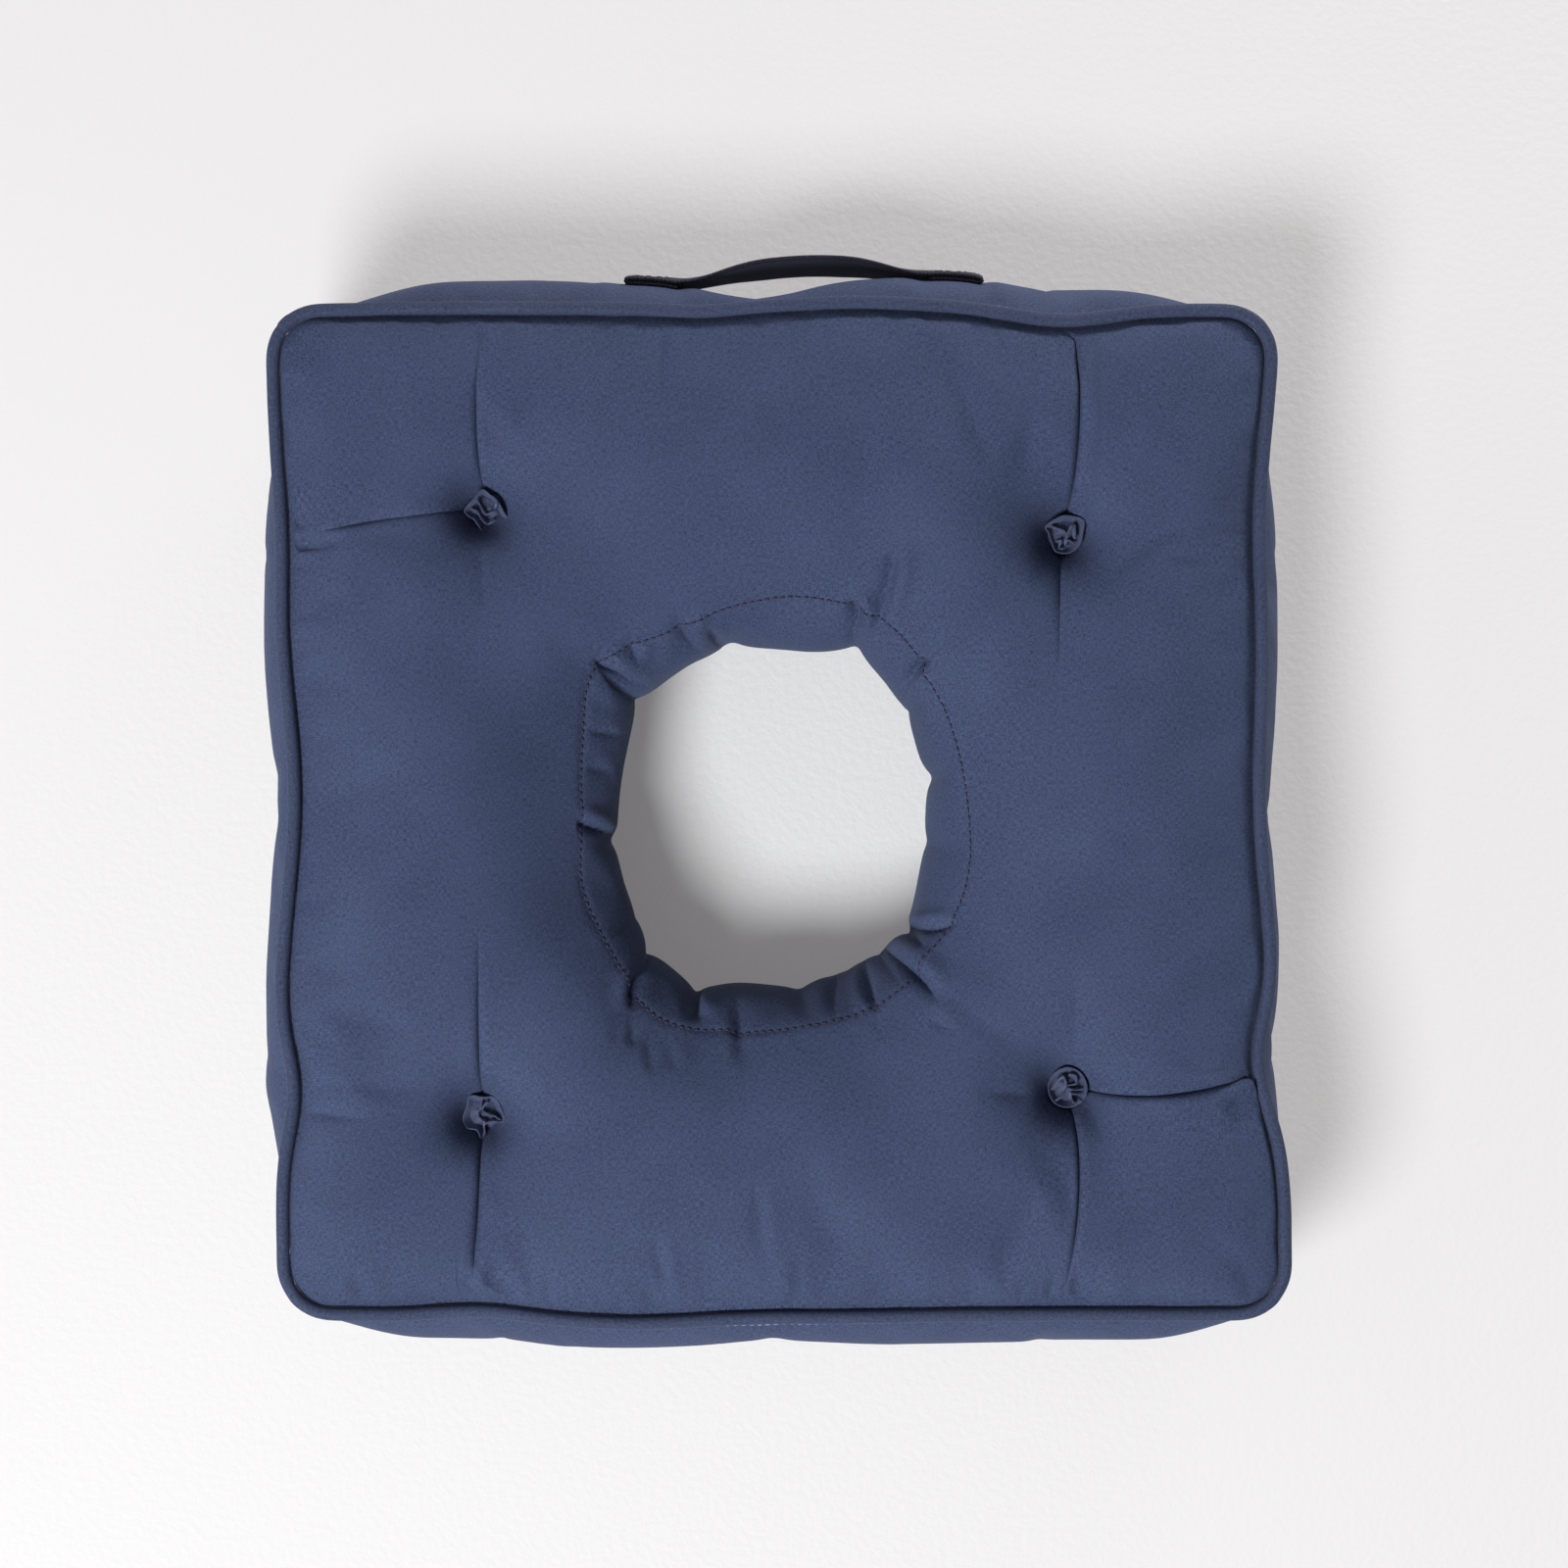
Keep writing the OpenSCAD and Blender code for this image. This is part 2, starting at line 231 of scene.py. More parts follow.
def pulled(plan, share=1.0):
    """The edges drawn in towards the tufts, less and less away from the edge."""
    x, y = plan[:, 0].copy(), plan[:, 1].copy()
    for side, pulls in PULLS.items():
        across, along = (x, y) if side in ("left", "right") else (y, x)
        sign = 1 if side in ("right", "back") else -1
        weight = smooth((sign * across - TUFT * 0.8) / (EDGE - TUFT * 0.8))
        depth = sum(d * MM * bump(along - p * MM, w * MM) for p, d, w in pulls)
        across -= sign * weight * depth * share
    return np.stack([x, y], 1)


def settled(flat, share=1.0):
    """Where the points of the flat layout lie in plan on the sewn cushion."""
    plan = pulled(rounded(flat), share)
    for corner, (sx, sy) in CORNERS.items():
        shift = TUFTS[corner] - np.array([sx, sy]) * TUFT
        distance = np.linalg.norm(flat - np.array([sx, sy]) * TUFT, axis=1)
        plan += shift * np.exp(-(distance / (45 * MM)) ** 2)[:, None]
    radius = np.linalg.norm(flat, axis=1)
    stretch = round_curve(np.arctan2(flat[:, 1], flat[:, 0]), SEAM_OUTLINE) * MM / HOLE_R - 1
    weight = np.exp(-(np.maximum(radius - HOLE_R, 0) / (30 * MM)) ** 2)
    plan += weight[:, None] * (flat * (HOLE_R / radius * stretch)[:, None] + HOLE_SHIFT)
    plan[:, 0] += SHEAR * plan[:, 1] * smooth((np.abs(flat).max(1) - TUFT) / (EDGE - TUFT))
    return plan


def crown(depth, run):
    """Share of its full height that a stuffed panel has at a depth in from its seam."""
    u = 1 - np.minimum(depth / run, 1)
    return np.sqrt(np.maximum(0, 1 - u ** 2.2))


def dimples(plan, depth):
    """How far a panel is drawn down round its four tufts."""
    total = np.zeros(len(plan))
    for place in TUFTS.values():
        distance = np.linalg.norm(plan - place, axis=1)
        total += depth / (1 + (np.maximum(distance - 0.8 * ROSETTE_R, 0) / DIMPLE_WAIST) ** 1.4)
    return total


def hole_rounding(flat):
    """How far a panel falls towards the hole, more steeply on its left."""
    edge = np.linalg.norm(flat, axis=1) - HOLE_R
    steeper = 1 + 0.5 * bump(np.arctan2(flat[:, 1], -flat[:, 0]), 0.8)
    return HOLE_DROP * steeper * (1 - np.clip(edge / HOLE_RUN, 0, 1)) ** 2


def swell(plan, seed, size, amount):
    """Slow rise and fall of hand-stuffed fibre, as a few crossed waves."""
    waves = np.random.default_rng(seed)
    total = np.zeros(len(plan))
    for _ in range(9):
        direction = waves.uniform(0, TAU)
        length = size * waves.uniform(0.7, 1.6)
        along = plan[:, 0] * math.cos(direction) + plan[:, 1] * math.sin(direction)
        total += np.sin(TAU * along / length + waves.uniform(0, TAU))
    return total * amount / 3


def top_height(flat, plan):
    edge = EDGE - np.abs(flat)
    rise = (TOP - SEAM_TOP) * crown(edge[:, 0], CROWN_RUN) * crown(edge[:, 1], CROWN_RUN)
    uneven = smooth(edge.min(1) / (30 * MM)) * swell(plan, 3, 70 * MM, 0.8 * MM)
    return SEAM_TOP + rise - dimples(plan, TOP - TOP_FLOOR) - hole_rounding(flat) + uneven


def bottom_height(flat, plan):
    edge = EDGE - np.abs(flat)
    drop = SEAM_BOTTOM * crown(edge[:, 0], 40 * MM) * crown(edge[:, 1], 40 * MM)
    return np.maximum(SEAM_BOTTOM - drop + dimples(plan, BOTTOM_FLOOR) + hole_rounding(flat) - 1 * MM, 0)


def wall_bulge(flat, side_normal):
    """How far the boxing bulges out past its seams, at points round the edge."""
    sideways = np.abs(side_normal[:, 0]) > 0.7
    along = np.where(sideways, flat[:, 1], flat[:, 0])
    reach = np.zeros(len(flat))
    for side, (middle, slope, evening) in BULGES.items():
        facing = side_normal[:, 0] if side in ("left", "right") else side_normal[:, 1]
        on_side = facing * (1 if side in ("right", "back") else -1) > 0.7
        place, depth, width = PULLS[side][-1]
        pull = depth * MM * bump(along - place * MM, width * MM)
        reach += on_side * (middle * MM + slope * along + evening * pull)
    near_corner = 130 * MM - 25 * MM * sideways + 14 * MM * (side_normal[:, 1] < -0.7)
    full = 0.5 + 0.5 * np.cos(math.pi * np.clip((np.abs(along) - near_corner) / (70 * MM), 0, 1))
    bulge = reach * full + swell(flat, 11, 120 * MM, 0.9 * MM) * full
    on_back = side_normal[:, 1] > 0.9
    from_middle = along - HANDLE_X
    dent = sum(depth * bump(from_middle - place * MM, width * MM) for place, depth, width in HANDLE_DENTS)
    for side in ("left", "right"):
        low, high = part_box(f"handle_tab_{side}")
        dent += TAB_PRESS * smooth((along - low.x) / (5 * MM) + 1) * smooth((high.x - along) / (5 * MM) + 1)
    return bulge - on_back * dent * MM


def throat(angle):
    """Radius of the sleeve at its throat: puffs between the folds where it is gathered."""
    radius = round_curve(angle, THROAT_OUTLINE) * MM
    for place, depth in GATHERS:
        off = (angle - math.radians(place) + math.pi) % TAU - math.pi
        radius += depth * MM * np.exp(-np.abs(off) * 68 / (3.0 + 0.5 * depth))
    return radius


def row_height(t):
    """Height, on the cloth before it is sewn, of a row across the boxing or the sleeve."""
    return SEAM_TOP + (SEAM_BOTTOM - SEAM_TOP) * t


TOP_PART, BOTTOM_PART, SLEEVE_PART = 0, 1, 2
FIRST_WALL, BACK_WALL = 3, 5
WALL_PARTS = {FIRST_WALL: "front", 4: "right", BACK_WALL: "back", 6: "left"}


def cover_base():
    """The whole cover as one closed mesh: points, quads, the part of each quad, flat layout."""
    flat, quads, outer, hole = panel_layout()
    count = len(flat)
    plan_top, plan_bottom = settled(flat), settled(flat, 0.6)
    top = np.column_stack([plan_top, top_height(flat, plan_top)])
    bottom = np.column_stack([plan_bottom, bottom_height(flat, plan_bottom)])
    points = [top, bottom]
    rest = [np.column_stack([flat, np.full(count, level)]) for level in (SEAM_TOP, SEAM_BOTTOM)]
    faces = [tuple(q) for q in quads] + [tuple(k + count for k in reversed(q)) for q in quads]
    parts = [TOP_PART] * len(quads) + [BOTTOM_PART] * len(quads)

    def joined(loop, rows, shape):
        """Rows of points between a loop of the top panel and the same loop of the bottom one."""
        nonlocal points, rest
        size = len(loop)
        above, below, loop_flat = top[loop], bottom[loop], flat[loop]
        previous = list(loop)
        for row in range(1, rows + 1):
            if row < rows:
                t = row / rows
                start = sum(len(p) for p in points)
                made = shape(t, above, below, loop_flat)
                points.append(made)
                rest.append(np.column_stack([loop_flat, np.full(size, row_height(t))]))
                current = list(range(start, start + size))
            else:
                current = [k + count for k in loop]
            for k in range(size):
                yield k, (previous[k], current[k], current[(k + 1) % size], previous[(k + 1) % size])
            previous = current

    def wall(t, above, below, loop_flat):
        ahead = np.roll(above[:, :2], -1, 0) - np.roll(above[:, :2], 1, 0)
        normal = np.column_stack([ahead[:, 1], -ahead[:, 0]])
        normal /= np.linalg.norm(normal, axis=1)[:, None]
        made = above * (1 - t) + below * t
        made[:, :2] += normal * (wall_bulge(loop_flat, normal) * (1 - abs(2 * t - 1) ** 3.5))[:, None]
        return made

    def sleeve(t, above, below, loop_flat):
        angle = np.arctan2(loop_flat[:, 1], loop_flat[:, 0])
        narrow = throat(angle)
        inner = np.column_stack([narrow * np.cos(angle), narrow * np.sin(angle)]) + HOLE_SHIFT
        blend = math.sin(math.pi * t) ** 0.8
        made = above * (1 - t) + below * t
        made[:, :2] = made[:, :2] * (1 - blend) + inner * blend
        return made

    per_side = len(outer) // 4
    for k, quad in joined(outer, WALL_ROWS, wall):
        faces.append(quad)
        parts.append(FIRST_WALL + k // per_side)
    for k, quad in joined(hole, SLEEVE_ROWS, sleeve):
        faces.append(tuple(reversed(quad)))
        parts.append(SLEEVE_PART)
    return np.vstack(points), faces, np.array(parts), np.vstack(rest), outer, hole, count


# ------------------------------------------------------------------ meshes

def mesh_object(name, points, faces, material=None):
    mesh = bpy.data.meshes.new(name)
    mesh.from_pydata([tuple(p) for p in points], [], [tuple(int(k) for k in f) for f in faces])
    mesh.polygons.foreach_set("use_smooth", [True] * len(mesh.polygons))
    mesh.update()
    made = bpy.data.objects.new(name, mesh)
    bpy.context.scene.collection.objects.link(made)
    if material is not None:
        mesh.materials.append(material)
    return made


def set_cloth(piece, corner_coordinates):
    """Stores the woven cloth's own coordinates, in metres, on the corners of the faces."""
    attribute = piece.data.attributes.new("cloth", "FLOAT_VECTOR", "CORNER")
    attribute.data.foreach_set("vector", np.asarray(corner_coordinates, np.float32).ravel())


def read(collection, name, width, kind=float):
    """The values of a property of all of a mesh's elements, as rows of an array."""
    values = np.zeros(len(collection) * width, kind)
    collection.foreach_get(name, values)
    return values.reshape(-1, width) if width > 1 else values


def baked(made):
    """The mesh of an object with its modifiers applied, and its points."""
    graph = bpy.context.evaluated_depsgraph_get()
    mesh = bpy.data.meshes.new_from_object(made.evaluated_get(graph))
    return mesh, read(mesh.vertices, "co", 3)


def band(rows, count, closed=True, start=0):
    """Quads between rows of points that follow each other."""
    made = []
    for row in range(rows - 1):
        a, b = start + row * count, start + (row + 1) * count
        for k in range(count if closed else count - 1):
            m = (k + 1) % count
            made.append((a + k, a + m, b + m, b + k))
    return made


def band_cloth(along, around):
    """The cloth's coordinates at the corners of the quads of a band."""
    made = []
    for low, high in zip(along, along[1:]):
        for near, far in zip(around, around[1:]):
            made += [(low, near, 0), (low, far, 0), (high, far, 0), (high, near, 0)]
    return made


def sewn_on(piece, slot, *nodes):
    """A piece that moves with the cushion, with the nodes it stands for, which it hides; its kind of
    material, slot, is not used.
    """
    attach(piece, "cushion")
    if nodes:
        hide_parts(*nodes)


def softened(values, faces, where, rounds=14):
    """Values at the points, evened out over the mesh in the places where it is asked for."""
    quads = np.array(faces)
    ends = np.vstack([quads[:, [k, (k + 1) % 4]] for k in range(4)])
    links = np.bincount(ends.ravel(), minlength=len(values))[:, None]
    for _ in range(rounds):
        total = np.zeros_like(values)
        np.add.at(total, ends[:, 0], values[ends[:, 1]])
        np.add.at(total, ends[:, 1], values[ends[:, 0]])
        values = values + (total / links - values) * where[:, None]
    return values


def blown_up(points, faces, held, reach, soft, frames=18):
    """The cover after a cloth simulation: pressure fills it out between its seams and tufts."""
    puff = mesh_object("puff", points, faces)
    group = puff.vertex_groups.new(name="held")
    group.add([int(k) for k in np.nonzero(held)[0]], 1.0, "REPLACE")
    cloth = puff.modifiers.new("cloth", "CLOTH")
    settings = cloth.settings
    settings.vertex_group_mass = "held"
    settings.quality = 5
    settings.mass = 0.15
    settings.tension_stiffness = 12
    settings.compression_stiffness = 8
    settings.shear_stiffness = 4
    settings.bending_stiffness = 2.0
    settings.use_pressure = True
    settings.uniform_pressure_force = 3.0
    settings.shrink_min = -0.006
    settings.effector_weights.gravity = 0
    cloth.collision_settings.use_collision = False
    cloth.collision_settings.use_self_collision = False
    cloth.point_cache.frame_end = frames
    scene = bpy.context.scene
    for step in range(1, frames + 1):
        scene.frame_set(step)
    mesh, moved = baked(puff)
    bpy.data.meshes.remove(mesh)
    scene.frame_set(1)
    bpy.data.objects.remove(puff)
    change = softened(moved - points, faces, soft)
    length = np.linalg.norm(change, axis=1)
    return points + change * np.minimum(1, reach / np.maximum(length, 1e-9))[:, None]


# ------------------------------------------------------------------ creases

def curve(start, middle, end, count=24):
    """Points along a bend from start to end that passes by the middle, in metres."""
    t = np.linspace(0, 1, count)[:, None]
    a, b, c = (np.array(p) * MM for p in (start, middle, end))
    control = 2 * b - (a + c) / 2
    return (1 - t) ** 2 * a + 2 * t * (1 - t) * control + t ** 2 * c


# Creases that run from a rosette along the grain of the cloth: rosette, way it runs, middle and end in
# plan in millimetres from the cushion's centre, depth, width, the side on which the cloth stands up
# as a lip (1 is left of the way it runs), and the share of its length over which it fades out
TUFT_CREASES = [
    ("back_left", "y", (-119, 158), (-117, 190), 4.2, 0.9, -1, 0.7),
    ("back_left", "x", (-153, 116), (-192, 108), 2.6, 1.2, -1, 0.6),
    ("back_right", "y", (119, 152), (117, 193), 6.5, 1.0, -1, 0.25),
    ("back_right", "y", (112, 86), (111, 54), 5.0, 1.9, 1, 0.6),
    ("front_left", "y", (-118, -86), (-118, -46), 5.0, 1.0, -1, 0.6),
    ("front_left", "y", (-118, -153), (-121, -186), 6.5, 1.1, 1, 0.5),
    ("front_right", "x", (157, -111), (194, -101), 5.5, 0.75, 1, 0.12),
    ("front_right", "y", (119, -144), (113, -190), 5.5, 0.85, 1, 0.4),
]
# Other creases of the top panel in plan: start, middle, end, depth, width, and lip
CREASES = [
    ((-117, 108), (-117, 92), (-116, 72), 2.0, 6.0, 0),
    ((100, -112), (90, -111), (76, -111), 2.4, 3.5, 0),
    ((117, -100), (117, -78), (117, -56), 1.8, 5.0, 0),
    ((120, -116), (124, -122), (129, -130), 1.6, 3.0, 0),
    ((108, 106), (104, 98), (99, 88), 1.2, 2.6, 0),
    ((-45, 195), (-46, 178), (-46, 158), 2.6, 1.8, 1),
    ((-48, -165), (-46, -180), (-43, -196), 2.8, 1.7, 1),
    ((-9, -143), (-7, -164), (-4, -186), 2.2, 2.0, 1),
    ((8, -174), (7, -186), (7, -197), 2.0, 1.6, -1),
    ((-167, -179), (-166, -188), (-165, -197), 1.8, 2.4, 1),
    ((86, 193), (87, 186), (89, 178), 1.8, 2.2, 1),
    ((17, 195), (17, 188), (18, 180), 1.4, 2.0, 1),
    ((-189, -118), (-174, -120), (-158, -121), 2.0, 2.0, 0),
]


def drawn_creases(points, normals, flat, free):
    """Draws the rows of the mesh together along the tufts' creases, and sinks the creases there."""
    reach = 14 * MM
    moved, cloth = points.copy(), flat[:, :2].copy()
    for corner, axis, middle, end, depth, width, lip, taper in TUFT_CREASES:
        across, along = (0, 1) if axis == "y" else (1, 0)
        path = curve(TUFTS[corner] / MM, middle, end)
        way = 1 if path[-1, along] > path[0, along] else -1
        tuft_line = TUFT * CORNERS[corner][across]
        run = (points[:, along] - path[0, along]) * way
        length = abs(path[-1, along] - path[0, along])
        off = flat[:, across] - tuft_line
        near = (np.abs(off) < reach) & (run > 0) & (run < length + 10 * MM)
        off, run = off[near], run[near]
        ordered = path[::way]
        target = np.interp(points[near, along], ordered[:, along], ordered[:, across])
        drawn = off * (np.abs(off) / reach) ** 0.55
        beyond = np.maximum(drawn, 0) / (0.8 * width * MM)
        lap = 1.1 * width * MM * beyond * np.exp(1 - beyond)
        weight = smooth((reach - np.abs(off)) / (0.5 * reach)) * smooth(run / (8 * MM))
        weight *= smooth((length + 10 * MM - run) / (12 * MM)) * free[near]
        shift = (target + drawn - lap - points[near, across]) * weight
        slope = -normals[near, across] / np.maximum(normals[near, 2], 0.3)
        left = (-1 if axis == "y" else 1) * way
        fade = smooth((run - 3 * MM) / (4 * MM)) * np.clip((1 - run / length) / taper, 0, 1)
        groove = -depth * np.exp(-np.abs(drawn) / (width * MM))
        ridge = 0.08 * depth * bump(drawn * left * lip - 2.6 * width * MM, 1.5 * width * MM)
        moved[near, across] += shift
        cloth[near, across] += (drawn - off) * weight
        moved[near, 2] += shift * slope + (groove + ridge) * fade * free[near] * MM
    return moved, cloth


def crease_depth(plan, creases):
    """Height that the creases add, which is mostly below 0, at points in plan."""
    total = np.zeros(len(plan))
    for start, middle, end, depth, width, lip in creases:
        path = curve(start, middle, end)
        near = np.linalg.norm(plan - path.mean(0), axis=1) < np.linalg.norm(path[-1] - path[0]) / 2 + 30 * MM
        spots = plan[near]
        gap = spots[:, None, :] - path[None, :, :]
        nearest = np.linalg.norm(gap, axis=2).argmin(1)
        ahead = np.gradient(path, axis=0)
        ahead /= np.linalg.norm(ahead, axis=1)[:, None]
        offset = gap[np.arange(len(spots)), nearest]
        way = ahead[nearest]
        side = way[:, 0] * offset[:, 1] - way[:, 1] * offset[:, 0]
        beyond = np.abs((offset * way).sum(1))
        place = nearest / (len(path) - 1)
        fade = np.minimum(1, np.minimum(place / 0.3, (1 - place) / 0.45))
        fade = np.maximum(fade, 0) * np.exp(-(beyond / (3 * MM)) ** 2)
        groove = -depth * MM * np.exp(-np.abs(side) / (width * MM))
        ridge = 0.45 * depth * MM * bump(side - lip * 2.2 * width * MM, 1.3 * width * MM) * abs(lip)
        total[near] += (groove + ridge) * fade
    return total


def hole_puckers():
    """Short creases that run out from the seam round the hole, most of them below it."""
    made = []
    chooser = np.random.default_rng(21)
    for angle in np.arange(0, 360, 9.0) + chooser.uniform(-3.5, 3.5, 40):
        below = math.exp(-(((angle - 262 + 180) % 360 - 180) / 34) ** 2)
        length = 5 + 6 * chooser.random() + 7 * below
        depth = 0.15 + 0.25 * chooser.random() + 0.2 * below
        turn = math.radians(angle)
        way = np.array([math.cos(turn), math.sin(turn)])
        start = (round_curve(np.array([turn]), SEAM_OUTLINE)[0] * way + HOLE_SHIFT / MM)
        bend = np.array([-way[1], way[0]]) * chooser.uniform(-1.5, 1.5)
        middle, end = start + way * length / 2 + bend, start + way * length
        made.append((start, middle, end, depth, 1.8, chooser.choice([-1, 1])))
    return made


# Folds of the gathered cloth round the hole, as in CREASES, from the panel down into the throat
HOLE_FOLDS = [
    ((-74, 62), (-65, 54), (-52, 50), 6.5, 2.6, 1),
    ((-58.5, 68), (-58, 64), (-57, 60), 2.6, 2.0, 1),
    ((-42, 78), (-36, 68), (-31, 63), 4.0, 3.0, 1),
    ((-29, 75), (-25, 69), (-20, 65), 3.5, 2.2, 1),
    ((-77, 32), (-70, 31.5), (-62, 30.5), 1.6, 1.8, 1),
    ((-78, 18), (-72, 17), (-65, 16), 1.3, 1.8, 1),
    ((-81, -5), (-74, -6.5), (-65, -12.5), 5.0, 1.8, 1),
    ((27, 84), (31, 78), (28.5, 68), 7.5, 2.0, 1),
    ((44, 103), (43.5, 92), (36.5, 67), 6.0, 2.2, 1),
    ((61, 60), (52, 55), (50, 41), 7.5, 2.0, 1),
    ((71, -44), (59, -46.5), (49, -48.5), 4.6, 1.6, -1),
    ((63, -75), (52, -63), (40, -54), 6.5, 2.6, -1),
    ((39, -80), (35.5, -69), (34, -59), 3.4, 1.8, 1),
    ((22, -83), (22, -70), (26, -61), 2.0, 2.2, 1),
    ((-15.5, -102), (-15.8, -87), (-18, -72), 3.0, 2.4, 1),
    ((-32, -84), (-33.5, -77), (-33, -69), 4.6, 2.0, -1),
    ((-58.5, -79), (-57, -68), (-52, -57), 4.6, 2.0, 1),
    ((-51, -104), (-51, -97), (-51.5, -89), 1.6, 1.8, 1),
    ((-42, -102), (-42.5, -96), (-43, -89), 1.3, 1.8, -1),
    ((-58, -94), (-58, -88), (-57, -82), 1.5, 1.8, 1),
    ((-65, -92), (-64, -87), (-61, -82), 1.0, 1.8, 1),
    ((59, -82), (64, -84), (70, -88), 1.3, 2.2, 1),
]


def edge_puckers(flat):
    """Fine puckers square to the piped seams, where the feed of the sewing bunched the cloth."""
    size = np.abs(flat)
    depth_in = EDGE - size.max(1)
    along = np.where(size[:, 0] > size[:, 1], flat[:, 1], flat[:, 0] + 1.0)
    chooser = np.random.default_rng(5)
    wave = np.zeros(len(flat))
    for _ in range(6):
        wave += np.sin(TAU * along / (chooser.uniform(6, 19) * MM) + chooser.uniform(0, TAU))
    return 0.17 * MM * wave * np.exp(-depth_in / (9 * MM))


# ------------------------------------------------------------------ materials

def new_material(name):
    material = bpy.data.materials.new(name)
    material.use_nodes = True
    tree = material.node_tree
    shader = next(n for n in tree.nodes if n.type == "BSDF_PRINCIPLED")
    return material, tree, shader


def linked(tree, source, target):
    tree.links.new(source, target)


def math_node(tree, operation, first, second=None):
    node = tree.nodes.new("ShaderNodeMath")
    node.operation = operation
    for socket, value in zip(node.inputs, (first, second)):
        if value is None:
            continue
        if isinstance(value, (int, float)):
            socket.default_value = value
        else:
            linked(tree, value, socket)
    return node.outputs[0]


def noise_node(tree, vector, scale, detail=3.0, stretch=(1, 1, 1)):
    mapping = tree.nodes.new("ShaderNodeMapping")
    mapping.inputs["Scale"].default_value = stretch
    linked(tree, vector, mapping.inputs["Vector"])
    noise = tree.nodes.new("ShaderNodeTexNoise")
    noise.inputs["Scale"].default_value = scale
    noise.inputs["Detail"].default_value = detail
    linked(tree, mapping.outputs["Vector"], noise.inputs["Vector"])
    return noise.outputs["Fac"]


def coloured(tree, shader, share, dark, light):
    """Base colour between two, by a share."""
    mix = tree.nodes.new("ShaderNodeMix")
    mix.data_type = "RGBA"
    mix.inputs["A"].default_value = (*dark, 1)
    mix.inputs["B"].default_value = (*light, 1)
    linked(tree, share, mix.inputs["Factor"])
    linked(tree, mix.outputs["Result"], shader.inputs["Base Color"])


def raised(tree, shader, height, strength, distance):
    """Bump from a height."""
    relief = tree.nodes.new("ShaderNodeBump")
    relief.inputs["Strength"].default_value = strength
    relief.inputs["Distance"].default_value = distance
    linked(tree, height, relief.inputs["Height"])
    linked(tree, relief.outputs["Normal"], shader.inputs["Normal"])


def ranged(tree, value, old, new=(0, 1)):
    """A value taken from one range to another."""
    ramp = tree.nodes.new("ShaderNodeMapRange")
    for socket, number in zip(("From Min", "From Max", "To Min", "To Max"), (*old, *new)):
        ramp.inputs[socket].default_value = number
    linked(tree, value, ramp.inputs["Value"])
    return ramp.outputs["Result"]


def woven(name, light, dark, yarn, bump_height, roughness, sheen=0.08, turned=0.0, slub=1.0):
    """Plain-woven cloth: warp and weft that pass over and under, and slubs along both."""
    material, tree, shader = new_material(name)
    source = tree.nodes.new("ShaderNodeAttribute")
    source.attribute_name = "cloth"
    turn = tree.nodes.new("ShaderNodeVectorRotate")
    turn.rotation_type = "Z_AXIS"
    turn.inputs["Angle"].default_value = turned
    linked(tree, source.outputs["Vector"], turn.inputs["Vector"])
    cloth = turn.outputs["Vector"]
    split = tree.nodes.new("ShaderNodeSeparateXYZ")
    linked(tree, cloth, split.inputs[0])
    frequency = math.pi / yarn
    warp, weft = (
        math_node(tree, "SINE", math_node(tree, "MULTIPLY", split.outputs[axis], frequency)) for axis in "XY")
    weave = math_node(tree, "MULTIPLY", warp, weft)
    weft_slubs = noise_node(tree, cloth, 1.0, 2.0, (600, 2500, 1))
    warp_slubs = noise_node(tree, cloth, 1.0, 2.0, (2500, 600, 1))
    slubs = math_node(tree, "ADD", weft_slubs, warp_slubs)
    patches = noise_node(tree, cloth, 28.0, 3.0)
    tone = math_node(tree, "MULTIPLY", slubs, 0.85 * slub)
    for part, share in ((patches, 0.2), (weave, 0.06)):
        tone = math_node(tree, "ADD", tone, math_node(tree, "MULTIPLY", part, share))
    coloured(tree, shader, ranged(tree, tone, (0.68 * slub + 0.07, 1.02 * slub + 0.15)), dark, light)
    relief = math_node(tree, "ADD", math_node(tree, "MULTIPLY", weave, 0.5), slubs)
    raised(tree, shader, relief, 0.5, bump_height)
    shader.inputs["Roughness"].default_value = roughness
    shader.inputs["Specular IOR Level"].default_value = 0.25
    shader.inputs["Sheen Weight"].default_value = sheen
    shader.inputs["Sheen Roughness"].default_value = 0.45
    shader.inputs["Sheen Tint"].default_value = (0.55, 0.65, 1.0, 1)
    return material


def tangled(name, light, dark, size, roughness=0.95):
    """Loose fibre or twisted yarn: fine tangled strands on the object's own coordinates."""
    material, tree, shader = new_material(name)
    place = tree.nodes.new("ShaderNodeTexCoord").outputs["Object"]
    strands = noise_node(tree, place, 1 / size, 6.0, (1, 1, 0.4))
    coloured(tree, shader, strands, dark, light)
    raised(tree, shader, strands, 0.6, size / 2)
    shader.inputs["Roughness"].default_value = roughness
    return material


NAVY_LIGHT, NAVY_DARK = (0.062, 0.084, 0.166), (0.021, 0.031, 0.070)
# The piping's colours are darker than the navy's as painted shade, so that its round, lit top looks no
# lighter than the panels
PIPING_LIGHT_PAINTED_SHADE, PIPING_DARK_PAINTED_SHADE = (0.054, 0.07, 0.135), (0.02, 0.028, 0.06)
ROSETTE_LIGHT, ROSETTE_DARK = (0.062, 0.075, 0.14), (0.03, 0.038, 0.078)
cover_cloth = woven("cover_cloth", NAVY_LIGHT, NAVY_DARK, 0.45 * MM, 0.25 * MM, 0.85)
piping_cloth = woven("piping_cloth", PIPING_LIGHT_PAINTED_SHADE, PIPING_DARK_PAINTED_SHADE, 0.45 * MM, 0.2 * MM, 0.8, turned=math.pi / 4)
rosette_cloth = woven("rosette_cloth", ROSETTE_LIGHT, ROSETTE_DARK, 0.45 * MM, 0.15 * MM, 0.6, sheen=0.4)
